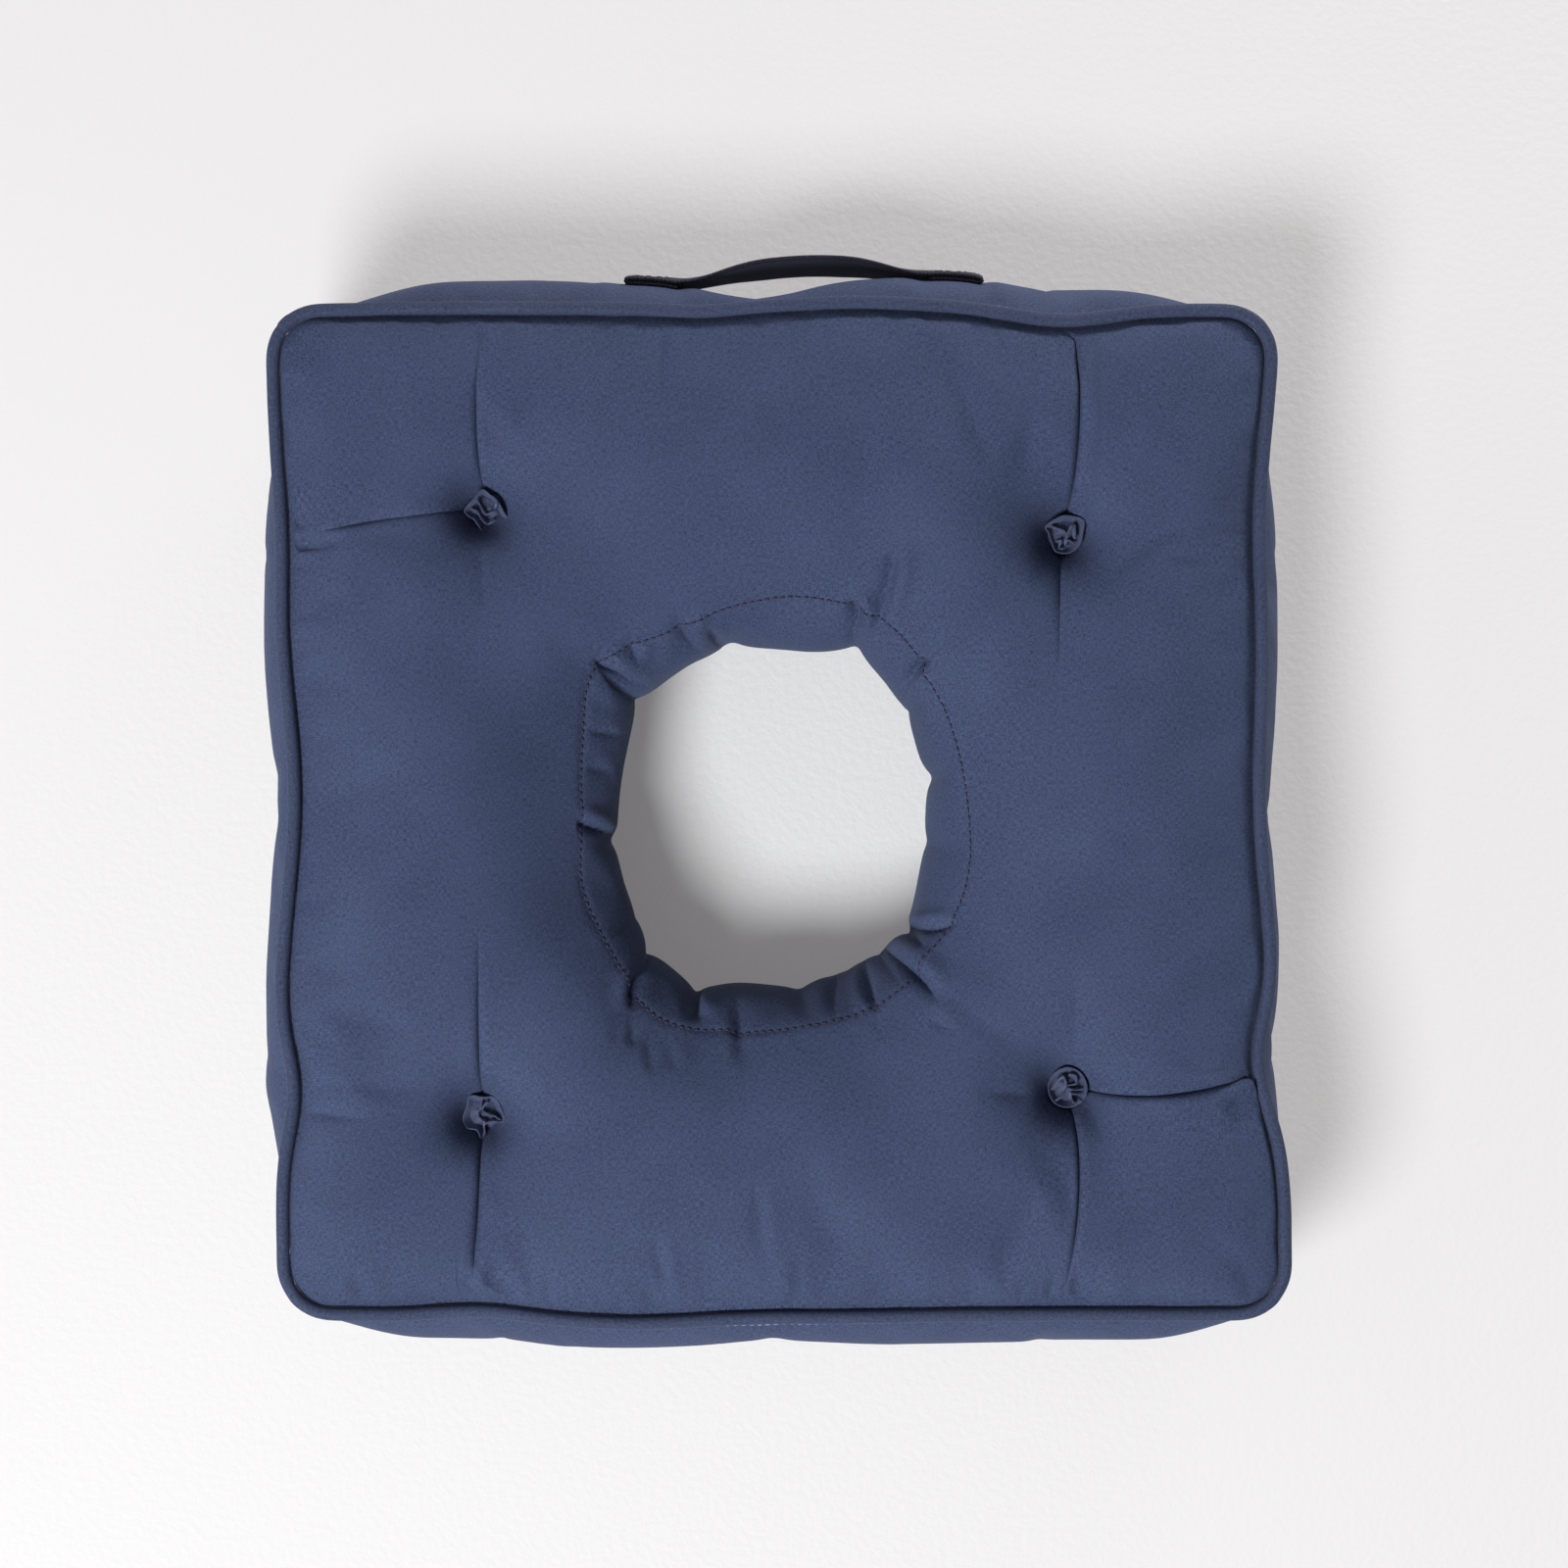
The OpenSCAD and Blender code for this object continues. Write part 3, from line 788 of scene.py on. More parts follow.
webbing = woven("webbing", (0.03, 0.027, 0.042), (0.014, 0.013, 0.022), 0.8 * MM, 0.5 * MM, 0.8, sheen=0.1)
# Pale, lighter than the cloth, for the row of dashes along the boxing
thread = tangled("thread", (0.30, 0.36, 0.52), (0.20, 0.25, 0.38), 0.4 * MM, 0.6)
# Dark thread: real thread round the hole and on the handle's sewn ends, and painted shade in the groove
# beside the piping
dark_thread_and_groove_shade = tangled("dark_thread_and_groove_shade", (0.03, 0.024, 0.055), (0.015, 0.012, 0.03), 0.4 * MM, 0.6)
cotton_cord = tangled("cotton_cord", (0.75, 0.71, 0.6), (0.55, 0.51, 0.42), 0.8 * MM)
fibre = tangled("fibre", (0.86, 0.86, 0.84), (0.62, 0.62, 0.6), 3 * MM)
tufting_twine = tangled("tufting_twine", (0.72, 0.66, 0.5), (0.5, 0.44, 0.32), 0.5 * MM)

# ------------------------------------------------------------------ making the cover

points, faces, parts, rest, outer_loop, hole_loop, panel_count = cover_base()

held = np.zeros(len(points))
for level in (0, panel_count):
    held[np.array(outer_loop + hole_loop) + level] = 1.0
for place in TUFTS.values():
    close = np.linalg.norm(points[:2 * panel_count, :2] - place, axis=1) < ROSETTE_R
    held[:2 * panel_count][close] = 1.0
on_panel = np.arange(len(points)) < 2 * panel_count
away = smooth((np.abs(rest[:, :2]).max(1) - HOLE_R) / (TUFT - HOLE_R + 15 * MM))
soft = on_panel * (1 - smooth((np.abs(rest[:, :2]).max(1) - TUFT) / (20 * MM)))
points = blown_up(points, faces, held, np.where(on_panel, 2 * MM + 4 * MM * away, 3 * MM), soft)
points[:, 2] = np.maximum(points[:, 2], 0)

coarse = mesh_object("cover", points, faces)
rest_attribute = coarse.data.attributes.new("rest", "FLOAT_VECTOR", "POINT")
rest_attribute.data.foreach_set("vector", rest.astype(np.float32).ravel())
part_attribute = coarse.data.attributes.new("part", "INT", "FACE")
part_attribute.data.foreach_set("value", parts.astype(np.int32))
finer = coarse.modifiers.new("finer", "SUBSURF")
finer.levels = finer.render_levels = 1
fine_mesh, fine = baked(coarse)
quads = read(fine_mesh.loops, "vertex_index", 1, np.int32).reshape(-1, 4)
fine_rest = read(fine_mesh.attributes["rest"].data, "vector", 3, np.float32).astype(float)
fine_parts = read(fine_mesh.attributes["part"].data, "value", 1, np.int32)
bpy.data.objects.remove(coarse)


def in_part(number):
    mask = np.zeros(len(fine), bool)
    mask[quads[fine_parts == number].ravel()] = True
    return mask


on_top, on_bottom, on_sleeve = in_part(TOP_PART), in_part(BOTTOM_PART), in_part(SLEEVE_PART)
on_walls = np.any([in_part(number) for number in WALL_PARTS], axis=0)
edge_fade = smooth((EDGE - np.abs(fine_rest[:, :2]).max(1)) / (5 * MM))
hole_fade = smooth((np.linalg.norm(fine_rest[:, :2], axis=1) - HOLE_R) / (4 * MM))
fine[on_top, 2] += crease_depth(fine[on_top, :2], CREASES) * edge_fade[on_top]
fine[on_top, 2] += crease_depth(fine[on_top, :2], hole_puckers()) * hole_fade[on_top]
fine_normals = read(fine_mesh.vertex_normals, "vector", 3)
by_hole = (on_top | on_sleeve) & (fine[:, 2] > 40 * MM) & (np.linalg.norm(fine_rest[:, :2], axis=1) < TUFT)
folds = crease_depth(fine[by_hole, :2], HOLE_FOLDS) * smooth((fine[by_hole, 2] - 40 * MM) / (20 * MM))
fine[by_hole] += fine_normals[by_hole] * folds[:, None]
fine[on_top, 2] += edge_puckers(fine_rest[on_top, :2]) * edge_fade[on_top]
flat_cloth = np.column_stack([fine_rest[:, :2], np.zeros(len(fine))])
fine[on_top], flat_cloth[on_top, :2] = drawn_creases(
    fine[on_top], fine_normals[on_top], fine_rest[on_top], edge_fade[on_top])
fine[on_top, 2] -= 1.2 * MM * np.exp(-(EDGE - np.abs(fine_rest[on_top, :2]).max(1)) / (0.9 * MM))
groove = np.exp(-np.abs(np.linalg.norm(fine_rest[:, :2], axis=1) - HOLE_R) / (0.9 * MM))
hole_seam = (on_top | on_sleeve) & (np.abs(fine_rest[:, 2] - SEAM_TOP) < 1 * MM)
fine[hole_seam, 2] -= 0.6 * MM * groove[hole_seam]
fine[on_bottom, 2] = np.maximum(fine[on_bottom, 2], 0)


def cut_piece(number, name, coordinates, wrap=None):
    """One sewn piece of the cover, as an object of its own."""
    chosen = quads[fine_parts == number]
    used, compact = np.unique(chosen, return_inverse=True)
    piece = mesh_object(name, fine[used] + CENTRE, compact.reshape(-1, 4), cover_cloth)
    cloth = coordinates[chosen.reshape(-1)].reshape(-1, 4, 3)
    if wrap is not None:
        first = cloth[:, :, 0]
        jump = first.max(1) - first.min(1) > wrap / 2
        first[jump] = np.where(first[jump] < 0, first[jump] + wrap, first[jump])
    set_cloth(piece, cloth.reshape(-1, 3))
    return piece


covers = {
    "top_panel": cut_piece(TOP_PART, "cover_top_panel", flat_cloth),
    "bottom_panel": cut_piece(BOTTOM_PART, "cover_bottom_panel", flat_cloth + 0.5),
}
for number, side in WALL_PARTS.items():
    wall_cloth = fine_rest[:, [0 if side in ("front", "back") else 1, 2, 2]]
    wall_cloth[:, 2] = 0
    covers[f"boxing_{side}"] = cut_piece(number, f"cover_boxing_{side}", wall_cloth + number)
sleeve_cloth = flat_cloth.copy()
sleeve_cloth[:, 0] = np.arctan2(fine_rest[:, 1], fine_rest[:, 0]) * HOLE_R
sleeve_cloth[:, 1] = fine_rest[:, 2]
covers["hole_sleeve"] = cut_piece(SLEEVE_PART, "cover_hole_sleeve", sleeve_cloth, wrap=TAU * HOLE_R)
for node in ("top_panel", "bottom_panel", "hole_sleeve", *(f"boxing_{side}" for side in WALL_PARTS.values())):
    sewn_on(covers[node], "cover_cloth", node)

# ------------------------------------------------------------------ filling

filling_shape = mesh_object("filling_shape", points, faces)
normals = read(filling_shape.data.vertex_normals, "vector", 3)
inset = 5 * MM + 7 * MM * np.exp(-((np.linalg.norm(rest[:, :2], axis=1) - HOLE_R) / (25 * MM)) ** 2)
tuft_lines = np.abs(np.abs(rest[:, :2]) - TUFT).min(1)
inset += 4 * MM * np.exp(-(tuft_lines / (7 * MM)) ** 2)
filling = mesh_object("filling", points - normals * inset[:, None] + CENTRE, faces, fibre)
bpy.data.objects.remove(filling_shape)
sewn_on(filling, "fibre", "fibre_filling")

# ------------------------------------------------------------------ tubes and stitches

def tube(name, path, radius, material, sides):
    """A round tube along a closed path, with the cloth's coordinates along and round it."""
    ahead = np.roll(path, -1, 0) - np.roll(path, 1, 0)
    ahead /= np.linalg.norm(ahead, axis=1)[:, None]
    side = np.cross(ahead, (0.0, 0.0, 1.0))
    side /= np.linalg.norm(side, axis=1)[:, None]
    over = np.cross(side, ahead)
    turn = np.linspace(0, TAU, sides, endpoint=False)
    spokes = side[:, None] * np.cos(turn)[None, :, None] + over[:, None] * np.sin(turn)[None, :, None]
    rings = path[:, None] + np.broadcast_to(radius, len(path))[:, None, None] * spokes
    faces = band(len(path) + 1, sides)
    faces = [tuple(v % (len(path) * sides) for v in face) for face in faces]
    piece = mesh_object(name, rings.reshape(-1, 3), faces, material)
    steps = np.linalg.norm(np.diff(path, axis=0, append=path[:1]), axis=1)
    around = np.ravel(radius)[0] * TAU * np.arange(sides + 1) / sides
    set_cloth(piece, band_cloth(np.concatenate([[0], np.cumsum(steps)]), around))
    return piece


def loop_of(mask):
    """The points of the cover in a mask, in order round the cushion, and the way out of the cloth."""
    chosen = np.nonzero(mask)[0]
    chosen = chosen[np.argsort(np.arctan2(fine_rest[chosen, 1], fine_rest[chosen, 0]))]
    return fine[chosen] + CENTRE, fine_normals[chosen]


def beside_seam(panel, outward):
    """A line beside the piped seam of a panel, a distance out from it in plan."""
    seam = loop_of(panel & on_walls)[0]
    for _ in range(6):
        seam = (np.roll(seam, 1, 0) + 2 * seam + np.roll(seam, -1, 0)) / 4
    ahead = np.roll(seam, -1, 0) - np.roll(seam, 1, 0)
    out = np.column_stack([ahead[:, 1], -ahead[:, 0], np.zeros(len(seam))])
    return seam + out / np.linalg.norm(out, axis=1)[:, None] * outward


def stitched(name, path, out, length, gap, radius, material, closed=True):
    """A row of stitches along a path: each dips into the cloth at both of its ends."""
    path = np.asarray(path)
    loop = np.vstack([path, path[:1]]) if closed else path
    outs = np.vstack([out, out[:1]]) if closed else np.asarray(out)
    distance = np.concatenate([[0], np.cumsum(np.linalg.norm(np.diff(loop, axis=0), axis=1))])
    count = int(distance[-1] / (length + gap))
    pitch = distance[-1] / count
    spots = np.linspace(0, 1, 6)
    sides = 6
    turn = np.linspace(0, TAU, sides, endpoint=False)
    points_made, faces_made = [], []
    for stitch in range(count):
        at = stitch * pitch + gap / 2 + spots * (pitch - gap)
        line = np.column_stack([np.interp(at, distance, loop[:, k]) for k in range(3)])
        normal = np.column_stack([np.interp(at, distance, outs[:, k]) for k in range(3)])
        normal /= np.linalg.norm(normal, axis=1)[:, None]
        ahead = np.gradient(line, axis=0)
        ahead /= np.linalg.norm(ahead, axis=1)[:, None]
        side = np.cross(ahead, normal)
        line = line + normal * (radius * (1.5 * np.sin(math.pi * spots) - 0.9))[:, None]
        start = len(points_made)
        for k in range(len(spots)):
            thick = radius * (0.55 if k in (0, len(spots) - 1) else 1.0)
            points_made += [
                line[k] + thick * (side[k] * math.cos(angle) + normal[k] * math.sin(angle)) for angle in turn]
        faces_made += band(len(spots), sides, start=start)
        faces_made.append(tuple(start + s for s in reversed(range(sides))))
        faces_made.append(tuple(start + (len(spots) - 1) * sides + s for s in range(sides)))
    return mesh_object(name, points_made, faces_made, material)


# ------------------------------------------------------------------ piping

PIPING_JOIN = 0.874  # where the ends of the piping meet, as a share of the way round


def piping_radius(count):
    """Radius along the piping: even, with a lap where its two ends meet."""
    place = np.arange(count) / count
    whole = 8 * HALF
    away = np.abs((place - PIPING_JOIN + 0.5) % 1 - 0.5) * whole
    return PIPE_R * (1 + 0.07 * (away < 5 * MM) - 0.12 * bump(place - PIPING_JOIN - 5 * MM / whole, 0.0006))


for level, panel in (("top", on_top), ("bottom", on_bottom)):
    line = beside_seam(panel, PIPE_R - 0.3 * MM)
    line[:, 2] = SEAM_TOP if level == "top" else SEAM_BOTTOM
    piping = tube(f"piping_{level}", line, piping_radius(len(line)), piping_cloth, sides=16)
    cord = tube(f"cord_{level}", line, CORD_R, cotton_cord, sides=8)
    sewn_on(piping, "piping_cloth", f"piping_cover_{level}")
    sewn_on(cord, "cotton_cord", f"piping_cord_{level}")

# ------------------------------------------------------------------ rows of stitches

def pale_boxing_row():
    """A row of pale dashes along the boxing, just below the piping, lighter than the cloth."""
    first_row = np.abs(fine_rest[:, 2] - row_height(1 / WALL_ROWS)) < 0.3 * MM
    path, out = loop_of(on_walls & first_row)
    return stitched("boxing_pale_line", path, out, 2.8 * MM, 0.4 * MM, 0.36 * MM, thread)


def groove_shade_row():
    """Dark stitches in the groove beside the piping, whose dark colour paints the groove's shade as a dark
    line.
    """
    path = beside_seam(on_top, 0.1 * MM)
    path[:, 2] = SEAM_TOP + 0.5 * MM
    up = np.tile([0.0, 0.0, 1.0], (len(path), 1))
    return stitched("groove_shade_stitches", path, up, 3.2 * MM, 0.3 * MM, 0.42 * MM, dark_thread_and_groove_shade)


def hole_row():
    """Dark stitches along the seam round the hole."""
    path, out = loop_of(on_top & on_sleeve)
    out = out * 0.4 + (0, 0, 0.6)
    path = path + out * 0.3 * MM
    return stitched("hole_stitches", path, out, 2.4 * MM, 0.7 * MM, 0.36 * MM, dark_thread_and_groove_shade)


for row_of_stitches in (pale_boxing_row(), groove_shade_row(), hole_row()):
    sewn_on(row_of_stitches, "thread")

# ------------------------------------------------------------------ rosettes

def drawn_line(controls, closed, count):
    """Smooth line through given points in millimetres."""
    spots = np.array(controls, float) * MM
    spans = len(spots) if closed else len(spots) - 1
    place = np.linspace(0, spans, count, endpoint=not closed)
    k = np.minimum(place.astype(int), spans - 1)

    def spot(step):
        return spots[(k + step) % spans] if closed else spots[np.clip(k + step, 0, spans)]

    return curved(*(spot(step) for step in (-1, 0, 1, 2)), (place - k)[:, None])


def ribbon(line, closed, low, tall, phase):
    """A strip of cloth that stands on its edge along a line, wider at its top than at its foot."""
    rows = 5
    count = len(line)
    wave = np.sin(np.arange(count) / count * TAU * 3 + phase)
    points_made = []
    for rise in np.arange(rows + 1) / rows:
        spread = 1 - 0.34 * (1 - rise) ** 1.3
        height = low + (tall - low) * rise * (1 + 0.14 * wave)
        points_made += [(x * spread, y * spread, z) for (x, y), z in zip(line, height)]
    return points_made, band(rows + 1, count, closed)


def crumpled_button(seed):
    """The middle of a rosette: a low mound of crumpled cloth."""
    chooser = np.random.default_rng(seed)
    rings, spokes = 8, 40
    angle = np.linspace(0, TAU, spokes, endpoint=False)
    phases = chooser.uniform(0, TAU, 3)
    points_made = [(0, 0, 2.4 * MM)]
    for u in np.arange(1, rings + 1) / rings:
        crumple = np.abs(np.sin(2 * angle + phases[0] + 2 * u))
        crumple += 0.6 * np.abs(np.sin(3.5 * angle + phases[1] - 3 * u))
        height = (2.6 * (1 - u ** 3) - 1.1 * crumple * u * (1 - u ** 4) + 0.3) * MM
        radius = 0.78 * ROSETTE_R * u * (1 + 0.05 * np.sin(5 * angle + phases[2]))
        points_made += [(r * math.cos(a), r * math.sin(a), z) for r, a, z in zip(radius, angle, height)]
    middle = [(0, 1 + k, 1 + (k + 1) % spokes) for k in range(spokes)]
    return points_made, middle + [(a, d, c, b) for a, b, c, d in band(rings, spokes, start=1)]


def rosette(name, place, floor, up, ribbons, seed):
    """A scrap of cloth gathered into a knot: a crumpled middle, and ribbons on their edges."""
    points_made, faces_made = crumpled_button(seed)
    for k, (closed, controls) in enumerate(ribbons):
        line = drawn_line(controls, closed, 84 if closed else 40)
        more_points, more_faces = ribbon(line, closed, 0.4 * MM, (5.0 if closed else 5.6) * MM, seed + 2 * k)
        faces_made += [tuple(len(points_made) + v for v in face) for face in more_faces]
        points_made += more_points
    if up < 0:
        faces_made = [tuple(reversed(face)) for face in faces_made]
    made = np.array(points_made) * (1, 1, up) + (place[0], place[1], floor) + CENTRE
    piece = mesh_object(name, made, faces_made, rosette_cloth)
    corners = np.array([points_made[k] for face in faces_made for k in face])
    set_cloth(piece, np.column_stack([corners[:, 0] + corners[:, 1], corners[:, 2], corners[:, 1]]))
    thick = piece.modifiers.new("thickness", "SOLIDIFY")
    thick.thickness = 0.75 * MM
    thick.offset = 0
    rounder = piece.modifiers.new("rounder", "SUBSURF")
    rounder.levels = rounder.render_levels = 1
    return piece


# Ribbons of each rosette, in millimetres from its middle: whether the ribbon closes, and its points
RIBBONS = {
    "back_left": [
        (True, [(-8.5, -1), (-4.9, 3.2), (-1.4, 7.4), (1.6, 5.5), (4.6, 3.2), (7.2, -1.2), (8.8, -5.2),
                (4, -8.8), (-0.8, -9.4), (-3, -6.8), (-4.6, -4.6), (-6.4, -3.6)]),
        (False, [(-3.5, 3.5), (-1.5, 0), (0.3, -2.5), (3.5, -1.2), (5, 2)]),
        (False, [(-6.5, -0.5), (-3.6, -1.2), (-1.5, -4.5), (1, -6.5), (4.5, -5)]),
    ],
    "back_right": [
        (True, [(-7.7, 2.9), (-1.7, 6.7), (2.5, 6.9), (7.5, 5.1), (7, -0.5), (5.5, -5.2), (1.5, -8),
                (-3.5, -7.6), (-5.2, -4.5), (-6.6, 0)]),
        (False, [(-6, 3), (-1, 1.2), (1, 0), (3.8, 3.6), (4.2, -2.5)]),
        (False, [(-4, -3.5), (-1.5, -3.2), (-2.5, -6.2), (0, -6), (1, -3), (4, -4.5)]),
    ],
    "front_left": [
        (True, [(-5, 6.8), (0, 6.2), (4.6, 6.2), (7.2, 2), (8.6, -3.4), (3.5, -3.6), (0.5, -5.2), (0.8, -8.5),
                (-0.6, -10.5), (-2.4, -7), (-6.4, -6.2), (-8, -2.6), (-6.4, 2.5)]),
        (False, [(0, 6), (-0.8, 2), (-1.8, -1.5), (1.5, -4)]),
        (False, [(2, 5), (0, 1), (5, -1.5), (7.5, -3)]),
    ],
    "front_right": [
        (True, [(7.8, 0), (5.6, 5.6), (0, 8.2), (-5.4, 5.6), (-7.8, 0), (-5.6, -5.8), (0, -8), (5.8, -5.4)]),
        (False, [(-6.5, -1), (-4, 3.5), (-1.5, 4.6), (-0.6, 1), (-2.2, -3), (-5, -5.6)]),
        (False, [(0.5, 5.5), (3.3, 5), (3.6, 1.8), (-0.5, 0.6), (2, -0.8), (6, -0.8)]),
        (False, [(5.5, -3), (1.6, -2.6), (2.5, -6), (5.8, -5.4)]),
    ],
}

for seed, (corner, ribbons) in enumerate(RIBBONS.items()):
    for level, floor, up in (("top", TOP_FLOOR, 1), ("bottom", BOTTOM_FLOOR, -1)):
        knot = rosette(f"knot_{level}_{corner}", TUFTS[corner], floor, up, ribbons, 31 + seed)
        sewn_on(knot, "rosette_cloth", f"rosette_{level}_{corner}")

# ------------------------------------------------------------------ handle

tab_low, tab_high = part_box("handle_tab_right")
STRAP_W = grip_high.z - grip_low.z
STRAP_T = 1.7 * MM
STRAP_STEP = 1.2 * MM
REACH = 7.4 * MM  # how far the middle of the arch stands off the boxing
FOLD = STRAP_T * 0.55  # half the distance between the two layers of a sewn end
TAB_OUT = tab_high.x - HANDLE_X
TAB_IN = tab_low.x - HANDLE_X
cover_tree = BVHTree.FromPolygons(
    [Vector(p) for p in fine + CENTRE], [tuple(int(k) for k in q) for q in quads[fine_parts == BACK_WALL]])


def wall_y(x, z):
    """Where the back of the boxing is, straight behind a point given from the handle's middle."""
    start = Vector((HANDLE_X + x, CENTRE[1] + 2 * HALF, HANDLE_Z + z))
    return cover_tree.ray_cast(start, Vector((0, -1, 0)))[0].y


TAB_MIDDLE = (TAB_IN + TAB_OUT) / 2
WALL_Y = (wall_y(-TAB_MIDDLE, 0) + wall_y(TAB_MIDDLE, 0)) / 2


def strap_line():
    """The webbing's middle line, in plan: folded end, sewn end, arch, sewn end, folded end."""
    turn_x = TAB_OUT - 1.5 * MM
    half = [(TAB_IN + 3 * MM, FOLD), (TAB_OUT - 6 * MM, FOLD), (turn_x, FOLD)]
    half += [(turn_x + FOLD * 1.1 * math.sin(a), FOLD * 2 - FOLD * math.cos(a)) for a in (0.8, 1.57, 2.35)]
    half += [(turn_x, FOLD * 3), (TAB_OUT - 8 * MM, FOLD * 3), (TAB_IN + 6 * MM, FOLD * 3)]
    arch = []
    for t in np.linspace(0.0, 1, 22)[1:]:
        rise = math.sin(math.pi / 2 * t) ** 1.25
        arch.append((TAB_IN * (1 - t), FOLD * 3 + (REACH - FOLD * 3) * rise))
    right = half + arch
    left = [(-x, y) for x, y in reversed(right[:-1])]
    return np.array(right + left)


def bed(x, z):
    """What the strap lies on: the boxing under its sewn ends, and a straight line between them."""
    if abs(x) >= TAB_IN:
        return wall_y(x, z)
    share = (x + TAB_IN) / (2 * TAB_IN)
    return wall_y(-TAB_IN, z) * (1 - share) + wall_y(TAB_IN, z) * share


def resampled(path, step):
    """Points a step apart along a path."""
    distance = np.concatenate([[0], np.cumsum(np.linalg.norm(np.diff(path, axis=0), axis=1))])
    at = np.linspace(0, distance[-1], int(distance[-1] / step) + 1)
    return np.column_stack([np.interp(at, distance, path[:, k]) for k in range(path.shape[1])])


def strap_section():
    """Points round the webbing's section: how far across it, and how far out of its middle."""
    w, h = STRAP_W / 2, STRAP_T / 2
    corner, bevel = 0.6 * MM, 0.1 * MM
    flat = [k / 6 * (w - corner) for k in range(-6, 7)]
    section = [(z, h) for z in flat]
    section += [(w - bevel, h * 0.5), (w, 0), (w - bevel, -h * 0.5)]
    section += [(z, -h) for z in reversed(flat)]
    section += [(-w + bevel, -h * 0.5), (-w, 0), (-w + bevel, h * 0.5)]
    return section


def strap():
    """The webbing, which leans back and hangs a little where it is free."""
    line = resampled(strap_line(), STRAP_STEP)
    for _ in range(2):
        line[1:-1] = (line[:-2] + 2 * line[1:-1] + line[2:]) / 4
    ahead = np.gradient(line, axis=0)
    ahead /= np.linalg.norm(ahead, axis=1)[:, None]
    free = smooth((TAB_IN - np.abs(line[:, 0])) / TAB_IN * 1.4)
    lean = math.radians(9.5) * free
    section = strap_section()
    points_made = []
    for k, (x, y) in enumerate(line):
        for z, thick in section:
            side_x, side_y = -ahead[k, 1] * thick, ahead[k, 0] * thick
            sag = -1.4 * MM * free[k]
            back = bed(x, z * (1 - free[k])) + y + side_y + z * math.sin(lean[k])
            points_made.append((HANDLE_X + x + side_x, back, HANDLE_Z + z * math.cos(lean[k]) + sag))
    size = len(section)
    faces_made = band(len(line), size)
    faces_made.append(tuple(reversed(range(size))))
    faces_made.append(tuple((len(line) - 1) * size + s for s in range(size)))
    piece = mesh_object("carry_strap", points_made, faces_made, webbing)
    around = [z for z, _ in section] + [section[0][0]]
    cloth = band_cloth(np.arange(len(line)) * STRAP_STEP, around)
    set_cloth(piece, cloth + [(0, 0, 0)] * (2 * size))
    return piece


carry_strap = strap()
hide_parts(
    "handle_grip", "handle_leg_left", "handle_leg_right", "handle_tab_left", "handle_tab_right")
free_from, free_to = ((HANDLE_X, WALL_Y + reach, HANDLE_Z) for reach in (3.5 * MM, 7.3 * MM))
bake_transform(carry_strap)
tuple(free_from)
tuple(free_to)


def tab_stitches(name):
    """A stitched box with a cross in it, through both layers of a sewn end."""
    low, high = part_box(name)
    inset = 1.2 * MM
    left, right = low.x + inset, high.x - inset
    foot, head = low.z + inset, high.z - inset
    corners = np.array([(left, foot), (right, foot), (right, head), (left, head)])
    runs = [(0, 1), (1, 2), (2, 3), (3, 0), (0, 2), (1, 3)]
    made = []
    for a, b in runs:
        t = np.linspace(0, 1, 20)[:, None]
        flat = corners[a] * (1 - t) + corners[b] * t
        y = [bed(x - HANDLE_X, z - HANDLE_Z) + FOLD * 3 + STRAP_T / 2 for x, z in flat]
        path = np.column_stack([flat[:, 0], y, flat[:, 1]])
        out = np.tile([0.0, 1.0, 0.0], (len(path), 1))
        made.append(stitched("run", path, out, 2.6 * MM, 0.9 * MM, 0.2 * MM, dark_thread_and_groove_shade, closed=False))
    return made


def merged(name, pieces):
    """Several objects as one."""
    points_made, faces_made = [], []
    for piece in pieces:
        start = len(points_made)
        points_made += [tuple(v.co) for v in piece.data.vertices]
        faces_made += [tuple(start + k for k in p.vertices) for p in piece.data.polygons]
        material = piece.data.materials[0]
        bpy.data.objects.remove(piece)
    return mesh_object(name, points_made, faces_made, material)


for side in ("left", "right"):
    node = f"handle_stitching_{side}"
    sewn = merged(f"tab_stitches_{side}", tab_stitches(node))
    sewn_on(sewn, "thread", node)

# ------------------------------------------------------------------ tufting twine, kept from the frame

for corner in CORNERS:
    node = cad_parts[f"twine_{corner}"]
    node.data.materials.clear()
    node.data.materials.append(tufting_twine)

# ------------------------------------------------------------------ stage

def plaster_with_painted_glow():
    """Pale floor with painted light: lighter inside the hole, and outside it darker but with a little painted
    glow, which lightens the cushion's cast shadows there.
    """
    material, tree, shader = new_material("plaster_with_painted_glow")
    place = tree.nodes.new("ShaderNodeTexCoord").outputs["Object"]
    raised(tree, shader, noise_node(tree, place, 320.0, 4.0), 0.4, 1 * MM)
    distance = tree.nodes.new("ShaderNodeVectorMath")
    distance.operation = "LENGTH"
    linked(tree, place, distance.inputs[0])
    # Painted light: base colour and glow change with the distance from the middle, so the shadows outside the
    # cushion are lit up and the hole stays in shade
    for socket, inside, outside in (("Base Color", 0.56, 0.38), ("Emission Strength", 0.15, 0.42)):
        level = ranged(tree, distance.outputs["Value"], (110 * MM, 180 * MM), (inside, outside))
        linked(tree, level, shader.inputs[socket])
    # The painted glow is warm, which tints the floor's shadows warm
    shader.inputs["Emission Color"].default_value = (1.0, 0.955, 0.955, 1)
    shader.inputs["Roughness"].default_value = 0.9
    return material


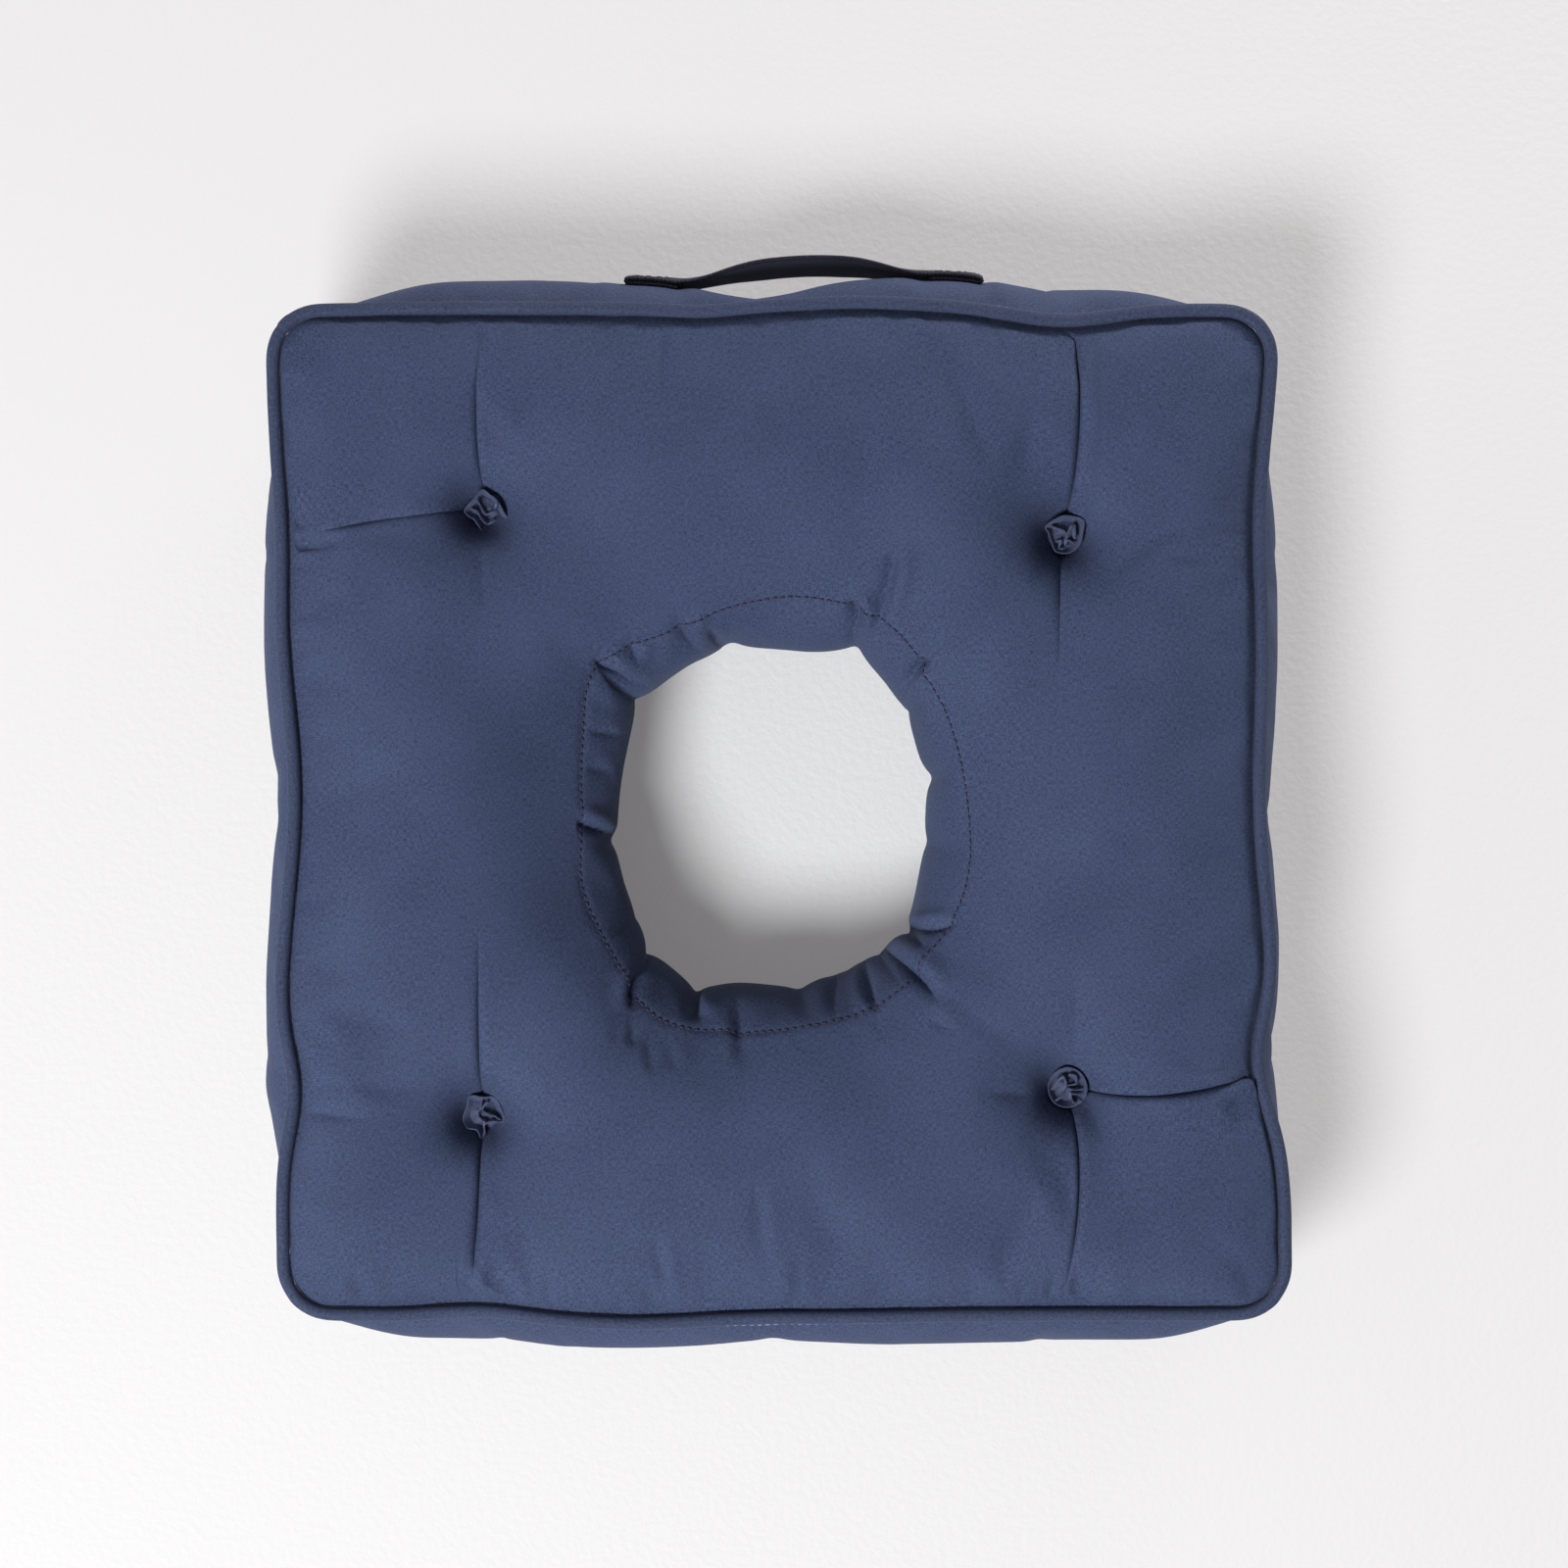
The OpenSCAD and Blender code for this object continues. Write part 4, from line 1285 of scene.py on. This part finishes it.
bpy.ops.mesh.primitive_plane_add(size=30, location=(0, 0, 0))
floor = bpy.context.object
floor.name = "floor"
floor.data.materials.append(plaster_with_painted_glow())


def area_light(name, place, size, energy, colour):
    """A soft light that faces the cushion."""
    data = bpy.data.lights.new(name, "AREA")
    data.shape = "ELLIPSE"
    data.size = size[0]
    data.size_y = size[1]
    data.energy = energy
    data.color = colour
    lamp = bpy.data.objects.new(name, data)
    bpy.context.scene.collection.objects.link(lamp)
    lamp.location = place
    lamp.visible_camera = False
    lamp.rotation_euler = (-Vector(place)).to_track_quat("-Z", "Y").to_euler()


def studio_world():
    """Even white light, brighter near the horizon and on the side of the window."""
    world = bpy.data.worlds.new("studio")
    world.use_nodes = True
    tree = world.node_tree
    way = tree.nodes.new("ShaderNodeTexCoord").outputs["Generated"]
    toward = tree.nodes.new("ShaderNodeVectorMath")
    toward.operation = "DOT_PRODUCT"
    toward.inputs[1].default_value = (-0.22, -0.02, -0.10)
    linked(tree, way, toward.inputs[0])
    strength = math_node(tree, "ADD", toward.outputs["Value"], 0.31)
    background = tree.nodes["Background"]
    background.inputs["Color"].default_value = (1.0, 0.985, 0.98, 1)
    linked(tree, strength, background.inputs["Strength"])
    bpy.context.scene.world = world


area_light("window", (-0.81, -1.11, 1.95), (0.95, 0.95), 68, (0.975, 0.99, 1.0))
area_light("card", (0.75, 1.35, 0.11), (1.1, 0.18), 20, (0.97, 0.98, 1.0))
studio_world()
bpy.context.scene.view_settings.view_transform = "Standard"

# ------------------------------------------------------------------ camera, straight above

camera_data = bpy.data.cameras.new("camera")
camera = bpy.data.objects.new("camera", camera_data)
bpy.context.scene.collection.objects.link(camera)
CAMERA_HEIGHT, SEEN_HEIGHT, SEEN_WIDTH = 1.555, 0.088, 0.621  # the view is this wide at the panel's edge
camera.location = (CENTRE[0] + 2 * MM, CENTRE[1] + 11 * MM, CAMERA_HEIGHT)
camera.rotation_euler = (0, 0, 0)
camera_data.sensor_width = 36
camera_data.lens = camera_data.sensor_width / SEEN_WIDTH * (CAMERA_HEIGHT - SEEN_HEIGHT)
bpy.context.scene.camera = camera
